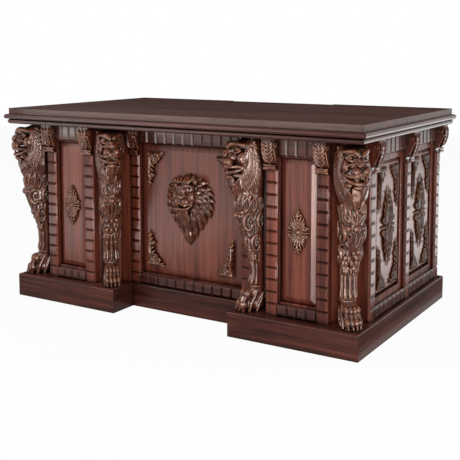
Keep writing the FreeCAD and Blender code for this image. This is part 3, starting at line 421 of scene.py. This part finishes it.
LEG_LINE = [(20, 64, 26), (92, 60, 25), (125, 55, 26), (165, 54, 26), (215, 64, 27), (262, 84, 29),
            (318, 101, 30), (352, 109, 30), (395, 113, 33), (424, 107, 37), (462, 90, 44), (500, 82, 46),
            (560, 84, 47), (606, 84, 47), (630, 78, 44)]
LEG_BACK = 12


def leg_size(up):
    """The middle, half width and half depth of the block at a height."""
    low = max(number for number in range(len(LEG_LINE) - 1) if LEG_LINE[number][0] <= up or number == 0)
    part = (up - LEG_LINE[low][0]) / (LEG_LINE[low + 1][0] - LEG_LINE[low][0])
    front, half = (a + part * (b - a) for a, b in zip(LEG_LINE[low][1:], LEG_LINE[low + 1][1:]))
    return (front + LEG_BACK) / 2, half, (front - LEG_BACK) / 2


def on_leg(up, angle, lift):
    """A point on the rounded block at a height, turned by an angle in degrees from straight ahead."""
    middle, half, deep = leg_size(up)
    across = math.sin(math.radians(angle))
    ahead = math.cos(math.radians(angle))
    return (math.copysign(abs(across) ** 0.65, across) * (half + lift),
            middle + math.copysign(abs(ahead) ** 0.65, ahead) * (deep + lift), up)


def on_side(side, outwards, up, lift):
    """A point on the flank of the block."""
    middle, half, deep = leg_size(up)
    share = min(abs((outwards - middle) / deep), 0.98)
    return side * (half * (1 - share ** 3.08) ** (1 / 3.08) + lift), outwards, up


def leg_leaves(up, height, angles, thick):
    """A row of leaf tips that hang round the front of the leg."""
    for angle in angles:
        strand([on_leg(up + height / 2, angle, -1), on_leg(up, angle, 4), on_leg(up - height / 2, angle, 4)],
               [thick * 0.9, thick, thick * 0.3])


def palmette(base, tip, spread, lobes, thick):
    """A leaf on the leg: ribs that fan out from its foot and curl forwards at their ends."""
    for number in range(-lobes, lobes + 1):
        share = number / lobes
        end = tip - (tip - base) * 0.34 * share * share
        strand([on_leg(base, share * 5, 1), on_leg((base + end) / 2, share * spread * 0.75, 3),
                on_leg(end, share * spread, 4), on_leg(end + (tip - base) * 0.06, share * spread, 9)],
               [thick * 0.8, thick, thick * 0.9, thick * 0.4])


def flank_scroll(side, outwards, up, wide, tall, thick):
    """A bold crescent on the flank, open to the back, with curled ends round a bead and leaf tips outside."""
    points = []
    for step in range(15):
        turn = math.radians(-147 + step * 21)
        reach = 1 - max(0, abs(step - 7) - 4) * 0.2
        points.append(on_side(side, outwards + wide * reach * math.cos(turn),
                              up + tall * reach * math.sin(turn), 7))
    strand(points, [thick * 0.45, thick * 0.7, thick, thick * 1.2, thick, thick * 0.7, thick * 0.45])
    lump(*on_side(side, outwards - wide * 0.15, up, 1), 5, wide * 0.3, tall * 0.26)
    for number in range(-3, 4):
        turn = math.radians(number * 30)
        strand([on_side(side, outwards + wide * size * math.cos(turn),
                        up + tall * size * math.sin(turn), lift)
                for size, lift in ((1.0, 4), (1.25, 5), (1.42, 2))], [4.2, 3.6, 1.2])


def flank_leaf(side, outwards, up, wide, tall):
    """A pointed leaf on the flank: raised edges on both sides of a rib."""
    for edge, lift, thick in ((-1, 4, 3.6), (0, 2, 3.0), (1, 4, 3.6)):
        strand([on_side(side, outwards, up, 1),
                on_side(side, outwards + edge * wide * 0.55, up + tall * 0.38, lift),
                on_side(side, outwards + edge * wide * 0.4, up + tall * 0.72, lift + 1),
                on_side(side, outwards - 3, up + tall, lift + 2)], [thick * 0.7, thick, thick, thick * 0.5])


# head: skull, brow, snout, nose, the two lobes of the upper lip, the jaw and the tongue
lump(0, 60, 588, 45, 44, 40)
lump(0, 90, 598, 36, 30, 14)
lump(0, 116, 586, 16, 44, 12, (0.22, 0, 0))
lump(0, 120, 561, 29, 30, 21)
lump(0, 153, 569, 12, 9, 10)
lump(0, 134, 491, 21, 16, 11)
lump(0, 118, 507, 14, 26, 5)
for side in (-1, 1):
    lump(side * 16, 144, 545, 18, 19, 16)
    lump(side * 35, 92, 557, 14, 24, 24)
    lump(side * 42, 72, 572, 11, 20, 36)
    lump(side * 38, 84, 520, 11, 18, 26)
    lump(side * 29, 104, 497, 13, 26, 11)
    lump(side * 44, 58, 613, 9, 8, 12, (0, side * 0.4, 0))
    lump(side * 24, 110, 587, 11, 10, 8)
    lump(side * 25.5, 119.5, 587, 3.4, 2.6, 3.6)
    strand([(side * 4, 144, 592), (side * 13, 139, 605), (side * 30, 122, 610), (side * 47, 90, 604)],
           [6, 9.5, 9, 5])
    strand([(side * 11, 126, 587), (side * 20, 125, 598), (side * 31, 117, 596), (side * 39, 105, 585)],
           [2.4, 3.2, 2.4])
    strand([(side * 11, 126, 586), (side * 20, 123, 577), (side * 31, 116, 576), (side * 39, 105, 584)],
           [2.4, 3.4, 2.4])
    strand([(side * 12, 138, 572), (side * 24, 128, 568), (side * 35, 115, 562), (side * 42, 100, 554)],
           [3, 4, 4, 2])
    strand([(side * 4, 158, 564), (side * 11, 157, 563), (side * 15, 152, 571), (side * 13, 145, 578)],
           [3, 3.6, 3.6, 2])
    strand([(0, 158, 540), (side * 15, 158, 529), (side * 31, 140, 527), (side * 42, 110, 531),
            (side * 46, 94, 526)],
           [4, 5.5, 5.5, 5.5, 4])
    strand([(0, 151, 504), (side * 15, 148, 505), (side * 30, 132, 509), (side * 41, 109, 517),
            (side * 46, 92, 526)],
           [6.5, 7, 7, 6.5, 4])
    strand([(side * 18, 149, 531), (side * 18, 150, 522), (side * 17, 149, 511)], [4.5, 3.6, 1.2])
    strand([(side * 11, 147, 506), (side * 11, 148, 514), (side * 11, 147, 521)], [3.4, 2.6, 1])
    for tooth in (3, 9, 26, 33):
        strand([(side * tooth, 153 - tooth * 0.7, 532), (side * tooth, 153 - tooth * 0.7, 520)], [3.0, 1.8])
    for crease in range(4):
        strand([(side * 4, 150 - crease * 9, 582 + crease * 3),
                (side * 12, 146 - crease * 9, 580 + crease * 2),
                (side * 19, 136 - crease * 8, 570 + crease)], [1.8, 2.4, 1.5])
    for whisker in range(4):
        strand([(side * (9 + whisker * 6), 160 - whisker * 4, 548 - whisker * 3),
                (side * (20 + whisker * 5), 152 - whisker * 6, 540 - whisker * 2)], [2.0, 1.3])
    strand([(side * 38, 92, 612), (side * 48, 76, 604), (side * 52, 64, 580), (side * 50, 66, 550),
            (side * 45, 82, 530)],
           [3, 4.5, 5, 4.5, 3])
# beard: a smooth tongue of hair under the chin
lump(0, 120, 466, 21, 11, 32)
lump(0, 126, 480, 20, 14, 16)
for number in range(-4, 5):
    strand([(number * 5.4, 136 - abs(number) * 2, 488), (number * 5.6, 136 - abs(number) * 2, 466),
            (number * 3.4, 130 - abs(number), 444), (number * 0.8, 121, 422)], [3.2, 3.8, 3.0, 1.4])
for side in (-1, 1):
    lump(side * 27, 98, 474, 16, 18, 36)
# mane: three layers of locks that run from the face to a point on the chest
FACE = [(6, 108, 612), (30, 100, 612), (46, 82, 602), (52, 74, 570), (51, 78, 538), (46, 92, 508),
        (36, 108, 486), (25, 119, 468), (16, 124, 450)]
MANE = [(20, 72, 627), (41, 60, 627), (53, 50, 606), (56, 42, 560), (55, 40, 512), (50, 46, 474),
        (42, 64, 446), (26, 92, 426), (7, 113, 413)]
for side in (-1, 1):
    for layer, (count, near, far, push) in enumerate(
            ((26, 0.0, 0.55, 5), (24, 0.30, 0.85, 3), (24, 0.6, 1.06, 1))):
        for number in range(count):
            share = (number + 0.5 * (layer % 2)) / (count - 1)
            start = [a + (b - a) * near for a, b in zip(between(FACE, share), between(MANE, share))]
            later = share + 0.10
            end = [a + (b - a) * far for a, b in zip(between(FACE, later), between(MANE, later))]
            middle = [(a + b) / 2 for a, b in zip(start, end)]
            strand([(side * start[0], start[1] + push - 2, start[2]),
                    (side * (middle[0] + 2), middle[1] + push + 2, middle[2] - 2),
                    (side * end[0], end[1] + push, end[2] - 3),
                    (side * end[0] * 0.97, end[1] + push - 3, end[2] - 9)], [2.4, 3.4, 3.0, 1.0])
    for number in range(5):
        strand([(side * (3 + number * 7), 116 - number * 2, 604),
                (side * (4 + number * 8), 98 - number * 4, 616),
                (side * (6 + number * 9), 70 - number * 4, 627)], [3.0, 4.4, 3])
# chest: hanging leaves under the mane, a leaf above and below a boss between two rolls, rows of lobes, and
# leaves and scrolls on the flanks
leg_leaves(408, 38, range(-84, 85, 28), 8.0)
palmette(364, 398, 62, 3, 4.6)
lump(*on_leg(350, 0, 4), 14, 12, 14)
strand([on_leg(350 + 17 * math.sin(step * 0.628), math.degrees(17 * math.cos(step * 0.628) / 44), 2)
        for step in range(12)], [3, 3])
palmette(268, 330, 56, 3, 4.6)
for row in range(4):
    for number in range(-2, 3):
        angle = number * 30 + (15 if row % 2 else 0)
        up = 264 - row * 20
        lump(*on_leg(up, angle, 1), 7.5, 6.5, 12)
        lump(*on_leg(up - 9, angle, 5), 4.6, 4.4, 5)
for side in (-1, 1):
    lump(*on_leg(350, side * 40, 4), 9, 9, 10)
    lump(*on_leg(350, side * 60, 3), 5, 7, 12)
    for number in range(3):
        flank_leaf(side, 30 + number * 27, 362, 24, 56)
    flank_scroll(side, 70, 330, 22, 30, 7.4)
    flank_scroll(side, 28, 334, 14, 27, 6.6)
    flank_scroll(side, 42, 254, 20, 30, 7.4)
    for number in range(3):
        strand([on_side(side, 24 + number * 16, 296, 1), on_side(side, 28 + number * 16, 306, 4),
                on_side(side, 20 + number * 16, 314, 2)], [3, 4.5, 1.5])
# shin: a skirt of leaves, long round flutes and a ring round the ankle
leg_leaves(192, 28, range(-78, 79, 26), 6.4)
for angle, thick in ((-76, 6), (-28, 8), (0, 8), (28, 8), (76, 6)):
    strand([on_leg(188, angle, -3), on_leg(178, angle, 1), on_leg(140, angle, 0), on_leg(112, angle, 2),
            on_leg(101, angle, 4), on_leg(96, angle, 0)],
           [thick * 0.7, thick, thick * 0.9, thick, thick * 0.8, thick * 0.4])
strand([on_leg(91, step * 30 - 180, 1) for step in range(13)], [4.6, 4.6])
# paw: four round toes in two rows of knuckles, with short claws, and sinews along its sides
lump(0, 48, 24, 28, 48, 32)
lump(0, 46, 64, 25, 32, 27)
for toe in (-21, -7, 7, 21):
    back = abs(toe) * 0.42
    strand([(toe * 0.7, 56 - back, 86), (toe * 0.95, 80 - back, 70), (toe * 1.02, 94 - back, 47),
            (toe * 1.06, 102 - back, 24), (toe * 1.06, 100 - back, 0)], [6.4, 7.6, 6.6, 8.0, 8.2])
    lump(toe * 0.98, 83 - back, 62, 8.8, 16, 17)
    lump(toe * 1.07, 99 - back, 24, 9.6, 16, 18)
    strand([(toe * 1.06, 111 - back, 17), (toe * 1.06, 117 - back, 10), (toe * 1.06, 116 - back, 2)],
           [3.6, 3.2, 1.6])
for side in (-1, 1):
    strand([(side * 21, 40, 74), (side * 25, 52, 50), (side * 27, 64, 26), (side * 27, 70, 0)],
           [6, 7.5, 8, 7.5])
    strand([(side * 20, 16, 68), (side * 24, 24, 42), (side * 26, 36, 20), (side * 26, 42, 0)],
           [6, 7.5, 8, 7.5])
lion = carve("lion_leg", 1.4, 0.42, LEG_LINE, foot=((0, 0, 0), (0, 0, -1)))
# The colour of the painted shade in the hollows and creases of the carvings.
CREASE_PAINTED_SHADE = (0.007, 0.0025, 0.002)
CARVED_GLOSS = (1.0, 0.78, 0.66)


def carved_wood(name, deep, middle, light, rubbed, gloss=1.0):
    """Carved mahogany: painted shade lies dark in the hollows and creases, and the high edges are rubbed to
    copper.
    """
    wood = Finish(name)
    spot = wood.node("ShaderNodeTexCoord", {}, {}, "Object")
    lengthwise = wood.node("ShaderNodeMapping", {}, {"Vector": spot, "Scale": (1, 1, 0.1)})
    figure = wood.node("ShaderNodeTexNoise", {}, {
        "Vector": lengthwise, "Scale": 60.0, "Detail": 4.0, "Roughness": 0.6})
    patch = wood.node("ShaderNodeTexNoise", {}, {"Vector": spot, "Scale": 24.0, "Detail": 3.0})
    open_air = wood.node("ShaderNodeAmbientOcclusion", {"samples": 8}, {"Distance": 0.030}, 1)
    edge = wood.node("ShaderNodeNewGeometry", {}, {}, "Pointiness")
    colour = wood.node(
        "ShaderNodeValToRGB", {"stops": [(0.30, deep), (0.5, middle), (0.72, light)]}, {0: figure})
    worn = wood.node(
        "ShaderNodeMix", {"data_type": "RGBA"},
        {0: clamped(edge, 0.502, 0.56) * clamped(patch, 0.28, 0.60) * 0.9, 6: colour, 7: rubbed}, 2)
    # Painted shade: darker where ambient occlusion finds the carving closed in, and in creases found by
    # pointiness.
    darkened = wood.node(
        "ShaderNodeMix", {"data_type": "RGBA"},
        {0: clamped(open_air, 0.28, 0.90) * (0.15 + 0.85 * clamped(edge, 0.42, 0.495)), 6: CREASE_PAINTED_SHADE, 7: worn}, 2)
    grain = wood.node("ShaderNodeTexNoise", {}, {"Vector": lengthwise, "Scale": 500.0, "Detail": 2.0})
    relief = wood.node("ShaderNodeBump", {}, {"Strength": 0.15, "Distance": 0.0006, "Height": grain + patch})
    wood.surface(wood.node("ShaderNodeBsdfPrincipled", {}, {
        "Base Color": darkened, "Roughness": 0.06 + 0.12 * patch, "Normal": relief,
        "Specular IOR Level": 0.22 * gloss, "Specular Tint": CARVED_GLOSS,
        "Coat Weight": 0.12 * gloss, "Coat Roughness": 0.05, "Coat IOR": 1.5}))
    return wood.material


def fixed(piece, name, place, material, *stands_for):
    """A copy of a piece with its own mesh, put in its place and finished. It belongs to the carcase."""
    copy = bpy.data.objects.new(name, piece.data.copy())
    scene.collection.objects.link(copy)
    copy.data.transform(place)
    if place.determinant() < 0:
        copy.data.flip_normals()
    copy.data.materials.clear()
    copy.data.materials.append(material)
    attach(copy, "carcase")
    for node in stands_for:
        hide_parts(node)
    return copy


CARVED_DEEP = (0.029, 0.0070, 0.0042)
CARVED_RED = (0.078, 0.0180, 0.0100)
CARVED_LIGHT = (0.130, 0.0350, 0.0185)
RUBBED_COPPER = (0.340, 0.132, 0.054)
carved = carved_wood("carved_mahogany", CARVED_DEEP, CARVED_RED, CARVED_LIGHT, RUBBED_COPPER)
LION_SEATS = {"right_outer": (672, 45), "right_inner": (364, -45),
              "left_inner": (-364, 45), "left_outer": (-672, -45)}
LION_BACK = -333
LION_FOOT = 92
for name, (across, turn) in LION_SEATS.items():
    seat = Matrix.Translation((across * MM, LION_BACK * MM, LION_FOOT * MM))
    fixed(lion, name + "_lion", seat @ Matrix.Rotation(math.radians(turn), 4, "Z"), carved, "lion_" + name)
bpy.data.objects.remove(lion)

# Lion mask: a head carved in high relief with a mane of pointed locks in three layers, glued and pinned to
# the field of the modesty panel. Points are in millimetres from the middle of its back.
MASK_HALF = 116
MASK_TALL = 142
MASK_FACE = 0.30
CENTRE_FIELD = -284
MASK_MIDDLE = 415


def mask_rim(turn, share):
    """A point of the drop-shaped outline, seen from the front, at a share of its reach."""
    across = math.sin(turn)
    up = (1 - MASK_FACE) * math.cos(turn)
    fall = abs(turn - math.pi) / (math.pi / 2)
    if fall < 1:
        across = math.copysign(1 - (1 - fall) ** 1.7, math.pi - turn)
        up = -(1 + MASK_FACE) * (1 - fall)
    return MASK_HALF * across * share, MASK_TALL * (MASK_FACE + up * share)


def lock(start, end, low, high, width, bend):
    """A fat pointed lock of hair with two fine ridges, from its root to its tip, curved to one side."""
    run = end[0] - start[0], end[1] - start[1]
    length = math.hypot(*run)
    side = -run[1] / length, run[0] / length
    for shift, lift, thick in ((0, 0, width * 0.44), (-0.2, width * 0.33, 2.6), (0.2, width * 0.33, 2.6)):
        points = []
        for part, spread, height in (
                (0, 0.6, high - 4), (0.3, 1, high), (0.72, 0.8, (low + high) / 2 + 1), (1, 0, low)):
            offset = (shift * spread + bend * math.sin(part * math.pi) * 0.3) * width
            points.append((start[0] + run[0] * part + side[0] * offset, height + lift * spread,
                           start[1] + run[1] * part + side[1] * offset))
        strand(points, [thick * 0.6, thick, thick * 0.85, 1.2])


lump(0, 4, 40, 88, 20, 84)
lump(0, 2, -48, 40, 8, 60)
lock((0, -62), (0, -142), 1, 6, 56, 0)
for number in (-2, 2, -1, 1, 0):
    lock((number * 17, -6), (number * 12, -100 + abs(number) * 12), 5, 20, 27, number * 0.3)
for ring, (count, root, tip, low, high, width) in enumerate(
        [(24, 0.55, 1.0, 2, 5, 31), (21, 0.38, 0.86, 10, 17, 30), (18, 0.26, 0.70, 20, 29, 27)]):
    for number in range(count):
        turn = 2 * math.pi * (number + 0.5 - 0.5 * (ring % 2)) / count
        sweep = math.copysign(0.22 * abs(math.sin(turn)) ** 0.5, math.sin(turn))
        vary = (number * 7 + ring * 3) % 5 - 2
        lock(mask_rim(turn + vary * 0.02, root), mask_rim(turn + sweep, tip - (vary % 2) * 0.04),
             low, high + vary * 0.8, width * (1 + vary * 0.06), math.sin(turn) + vary * 0.2)
lock((0, 88), (2, 142), 2, 14, 40, 0.2)
lock((0, 82), (-2, 130), 10, 24, 34, -0.2)
lump(0, 36, 84, 43, 24, 34)
lump(0, 56, 72, 19, 17, 33, (0.35, 0, 0))
lump(0, 48, 46, 37, 22, 24)
lump(0, 74, 58, 15, 9, 10)
lump(0, 48, 6, 22, 18, 12)
for side in (-1, 1):
    lump(side * 17, 61, 40, 19, 15, 15)
    lump(side * 35, 44, 56, 17, 16, 24)
    lump(side * 23, 54, 86, 10, 8, 8)
    lump(side * 24, 61, 86, 3.4, 2.4, 3.6)
    lump(side * 44, 36, 114, 12, 10, 14)
    strand([(side * 5, 68, 88), (side * 15, 67, 99), (side * 30, 60, 103), (side * 46, 44, 94)], [6, 9, 8, 4])
    strand([(side * 11, 63, 87), (side * 22, 64, 94), (side * 34, 56, 85)], [2.4, 3, 2.2])
    strand([(side * 11, 63, 85), (side * 22, 63, 78), (side * 34, 56, 84)], [2.4, 3, 2.2])
    strand([(side * 4, 79, 55), (side * 12, 78, 55), (side * 16, 72, 62)], [2.6, 3.6, 2.4])
    strand([(0, 75, 38), (side * 15, 74, 26), (side * 31, 61, 29), (side * 42, 48, 38)], [4, 5.4, 5.4, 3])
    strand([(0, 63, 9), (side * 15, 61, 10), (side * 29, 53, 16), (side * 40, 46, 32)], [5.4, 5.4, 5.4, 3])
    strand([(side * 14, 65, 27), (side * 14, 65, 17)], [3.2, 1.2])
    for number in range(3):
        strand([(side * (4 + number * 9), 56, 108), (side * (8 + number * 13), 54, 120),
                (side * (12 + number * 17), 38, 132)], [5, 7, 1.8])
for number in range(-2, 3):
    strand([(number * 8, 52, 0), (number * 9, 52, -16), (number * 6, 44, -38)], [5, 6.4, 1.5])
mask = carve("mask", 1.5, 0.6, foot=((0, 0, 0), (0, 1, 0)))
fixed(mask, "carved_lion_mask", Matrix.Translation((0, CENTRE_FIELD * MM, MASK_MIDDLE * MM)), carved,
      "lion_mask")
bpy.data.objects.remove(mask)

# Capital leaves: an acanthus leaf with a middle rib, side lobes, two volutes and two rolls below, carved on
# the face of each pilaster's capital. Points are from the foot of the capital on the plane of its pilaster.
CAPITAL_ROUND = 102.8
CAPITAL_MIDDLE = 87.1
CAPITAL_INSET = 60
CAPITAL_FOOT = 612
FRONT_PLANE = -383
SIDE_PLANE = 741
CENTRE_PLANE = -288
FRONT_PILASTERS = (419, 617)
SIDE_PILASTERS = (-278, 61.5, 401)
CENTRE_PILASTER = 259


def flat_scroll(across, up, size, way, thick, lift=6):
    """A spiral scroll that lies on a flat ground."""
    strand([(across + way * size * (1 - step / 16) * math.cos(step * 0.6), lift + step / 5,
             up + size * (1 - step / 16) * math.sin(step * 0.6)) for step in range(14)],
           [thick, thick, thick * 0.75])


def capital_face(up):
    """How far the swelling face of a capital stands out at a height."""
    return math.sqrt(CAPITAL_ROUND ** 2 - (up - CAPITAL_MIDDLE) ** 2) - CAPITAL_INSET


lump(0, 22, 11, 22, 6, 9)
strand([(-25, 25, 18), (0, 27, 18), (25, 25, 18)], [3.4, 3.6, 3.4])
strand([(-25, 24, 6), (0, 26, 6), (25, 24, 6)], [4.4, 4.6, 4.4])
strand([(0, capital_face(22) + 2, 22), (0, capital_face(60) + 4, 60), (0, capital_face(97) + 3, 100)],
       [4, 5.5, 4])
for side in (-1, 1):
    for number in range(5):
        low = 26 + number * 14
        high = min(low + 24, 102)
        strand([(side * 2, capital_face(low) + 1, low), (side * 11, capital_face(low + 10) + 4, low + 9),
                (side * 19, capital_face(high) + 2, high - 4), (side * 21, capital_face(high) + 6, high)],
               [3.2, 4.6, 3.6, 1.6])
    strand([(side * 24, 30 + (11 - step * 0.7) * math.cos(step * 0.6),
             88 + (11 - step * 0.7) * math.sin(step * 0.6)) for step in range(13)], [3, 3])
    strand([(side * 24, capital_face(26) - 4, 26), (side * 24, capital_face(50) - 3, 50),
            (side * 23, capital_face(78), 80)], [2.5, 3.5, 3])
    lump(side * 16, 40, 104, 6, 5, 6)
lump(0, 41, 105, 7, 5, 6)
leaf = carve("capital_leaf", 1.5, 0.6)
END_MIRROR = Matrix.Scale(-1, 4, (1, 0, 0))
OUTWARDS = Matrix.Rotation(math.pi / 2, 4, "Z")


def both_halves(piece, name, place, material, *stands_for):
    """The same carving on the right and, mirrored, on the left half of the desk."""
    fixed(piece, "right_" + name, place, material, *stands_for)
    fixed(piece, "left_" + name, END_MIRROR @ place, material, *stands_for)


finish(carved_wood("capital_mahogany", CARVED_DEEP, CARVED_RED, CARVED_LIGHT, CARVED_RED), "capitals")
leaf_carved = carved_wood("leaf_mahogany", CARVED_DEEP, CARVED_RED, CARVED_LIGHT, CARVED_LIGHT, gloss=0.8)
for number, across in enumerate(FRONT_PILASTERS):
    both_halves(leaf, f"front_capital_leaf_{number}",
                Matrix.Translation((across * MM, FRONT_PLANE * MM, CAPITAL_FOOT * MM)), carved)
for number, along in enumerate(SIDE_PILASTERS):
    both_halves(leaf, f"side_capital_leaf_{number}",
                Matrix.Translation((SIDE_PLANE * MM, along * MM, CAPITAL_FOOT * MM)) @ OUTWARDS, leaf_carved)
both_halves(leaf, "centre_capital_leaf",
            Matrix.Translation((CENTRE_PILASTER * MM, CENTRE_PLANE * MM, CAPITAL_FOOT * MM)), carved)
bpy.data.objects.remove(leaf)

# Medallions: a rosette between scrolls and leaves that run out to a point above and below, carved in
# mahogany and glued to the middle of each pedestal panel. The front ones are the same carving made smaller.
lump(0, 6, 0, 15, 13, 18)
lump(0, 0, 0, 46, 9, 50)
for number in range(14):
    turn = number * math.pi / 7
    strand([(15 * math.cos(turn), 8, 18 * math.sin(turn)), (34 * math.cos(turn), 14, 36 * math.sin(turn)),
            (48 * math.cos(turn), 6, 51 * math.sin(turn))], [3.6, 8.0, 3.2])
for top in (-1, 1):
    for number in range(-4, 5):
        share = number / 4
        turn = math.radians(38 * share)
        reach = 150 * (1 - 0.58 * abs(share) ** 0.75)
        across = reach * math.sin(turn)
        up = top * reach * math.cos(turn)
        strand([(across * 0.2, 7, up * 0.25), (across * 0.72, 13, up * 0.55), (across * 1.02, 10, up * 0.86),
                (across, 4, up)], [4.6, 6.0, 5.2, 1.8])
    for number in range(3):
        low = 72 + number * 20
        for side in (-1, 1):
            strand([(side * 2, 12, top * low), (side * (13 - number * 2), 16, top * (low + 8)),
                    (side * (21 - number * 4), 9, top * (low + 22))], [3.6, 5.2, 1.6])
for side in (-1, 1):
    strand([(side * 34, 7, 0), (side * 50, 11, 0), (side * 64, 4, 0)], [6, 8, 1.8])
    for top in (-1, 1):
        flat_scroll(side * 44, top * 24, 13, side, 4.8, 8)
medallion = carve("medallion", 1.6, 0.6, foot=((0, 0, 0), (0, 1, 0)))
FRONT_SCALE = Matrix.Diagonal((0.70, 0.80, 0.575, 1))
SIDE_SCALE = Matrix.Diagonal((1, 0.6, 1, 1))
FRONT_FIELD = -379
FRONT_MIDDLE = 518
FRONT_UP = 400
SIDE_FIELD = 737
SIDE_MIDDLES = (-108.25, 231.25)
SIDE_UP = 398
# Painted shade: the carvings on the ends get a darker copy of the carved finish.
SIDE_DEEP = (0.022, 0.008, 0.005)
SIDE_BROWN = (0.052, 0.018, 0.011)
SIDE_LIGHT = (0.090, 0.032, 0.019)
SIDE_RUBBED = (0.400, 0.190, 0.085)
side_carved = carved_wood("side_carved_mahogany", SIDE_DEEP, SIDE_BROWN, SIDE_LIGHT, SIDE_RUBBED, gloss=0.1)
both_halves(medallion, "front_medallion_carving",
            Matrix.Translation((FRONT_MIDDLE * MM, FRONT_FIELD * MM, FRONT_UP * MM)) @ FRONT_SCALE, carved,
            "front_medallions")
for number, along in enumerate(SIDE_MIDDLES):
    both_halves(medallion, f"side_medallion_carving_{number}",
                Matrix.Translation((SIDE_FIELD * MM, along * MM, SIDE_UP * MM)) @ OUTWARDS @ SIDE_SCALE,
                side_carved, "side_medallions")
bpy.data.objects.remove(medallion)

# Corner ornaments: two leafy stems with scrolls that branch from a boss into the corner of a field, carved in
# mahogany and glued on. Every field of the sides has four, and the modesty panel has four broader ones.
lump(13, 5, 13, 12, 11, 12)
strand([(9, 6, 14), (17, 10, 44), (10, 9, 86), (15, 8, 124), (6, 4, 160)], [8, 8, 7, 5.5, 1.6])
strand([(12, 6, 10), (36, 10, 15), (56, 8, 9), (77, 4, 6)], [8, 7, 5.5, 1.6])
for across, up, size, way in ((28, 42, 14, 1), (22, 100, 11, 1), (47, 27, 12, -1)):
    flat_scroll(across, up, size, way, size * 0.34, 7)
for number in range(5):
    turn = math.radians(14 + number * 15.5)
    reach = 33 - abs(number - 2) * 3
    strand([(13, 7, 13), (13 + reach * 0.6 * math.cos(turn), 13, 13 + reach * 0.6 * math.sin(turn)),
            (13 + reach * math.cos(turn), 6, 13 + reach * math.sin(turn))], [5, 7, 2])
for number, up in enumerate((52, 70, 88, 108, 126)):
    reach = 32 - number * 3
    strand([(11, 7, up), (reach * 0.7, 12, up + 6), (reach, 6, up + 18)], [5, 6.4, 1.8])
    strand([(11, 7, up), (7, 10, up + 8), (3, 5, up + 17)], [4.4, 5, 1.6])
for number, across in enumerate((28, 42, 56)):
    reach = 29 - number * 5
    strand([(across, 7, 11), (across + 6, 12, reach * 0.7), (across + 15, 6, reach)], [5, 6, 1.8])
    strand([(across, 7, 11), (across + 7, 9, 6), (across + 14, 5, 2)], [4, 4.6, 1.6])
corner = carve("corner_ornament", 1.5, 0.55, foot=((0, 0, 0), (0, 1, 0)))
CENTRE_REACH = 204
CORNER_LEVELS = (("lower", 1, 170, 176), ("upper", -1, 632, 620))
SIDE_FIELDS = ((-208, -8.5), (131.5, 331))
FIELD_MARGIN = 4
CENTRE_CORNER = Matrix.Diagonal((-1.12, 1.35, 0.92, 1))
NEAR_CORNER = Matrix.Diagonal((1.05, 0.6, 1.04, 1))
FAR_CORNER = Matrix.Diagonal((-1.05, 0.6, 1.04, 1))
for level, way, centre_up, side_up in CORNER_LEVELS:
    up = Matrix.Diagonal((1, 1, way, 1))
    spot = Matrix.Translation((CENTRE_REACH * MM, CENTRE_FIELD * MM, centre_up * MM))
    both_halves(corner, f"centre_{level}_corner_carving", spot @ CENTRE_CORNER @ up, carved,
                "centre_corner_ornaments")
    for panel, (start, end) in enumerate(SIDE_FIELDS):
        for place, along, size in (("near", start + FIELD_MARGIN, NEAR_CORNER),
                                   ("far", end - FIELD_MARGIN, FAR_CORNER)):
            spot = Matrix.Translation((SIDE_FIELD * MM, along * MM, side_up * MM))
            both_halves(corner, f"side_{level}_corner_carving_{panel}_{place}",
                        spot @ OUTWARDS @ size @ up, side_carved, "side_corner_ornaments")
bpy.data.objects.remove(corner)

# Drawers: bevelled mahogany fronts with turned knobs, on boxes of plain sealed lining wood that run
# on wooden bearers under the top.
LINING_DEEP = (0.23, 0.115, 0.056)
LINING_MIDDLE = (0.35, 0.185, 0.092)
LINING_LIGHT = (0.43, 0.240, 0.128)
lining = mahogany("lining_wood", "y", LINING_DEEP, LINING_MIDDLE, LINING_LIGHT, rough=0.5)
for drawer in frame["record"]["behaviour"]["bodies"]:
    if drawer != "carcase":
        finish(panel_across, drawer + "_front")
        finish(case_upright, drawer + "_knobs")
        finish(lining, drawer + "_box")
finish(lining, "drawer_runners", "top_battens")

# Desk top: a wide glued-up board, satin lacquered, with mitred double-bead mouldings under its edge.
TOP_DEEP = (0.030, 0.012, 0.009)
TOP_BROWN = (0.074, 0.030, 0.022)
TOP_LIGHT = (0.110, 0.046, 0.034)
top_across = mahogany("top_mahogany", "x", TOP_DEEP, TOP_BROWN, TOP_LIGHT, rough=0.34, gloss=0.1)
finish(top_across, "desktop_slab")
finish(case_across, "moulding_front", "moulding_back")
finish(case_endwise, "moulding_left", "moulding_right")

# Update the view layer so that the placed pieces are up to date.
bpy.context.view_layer.update()
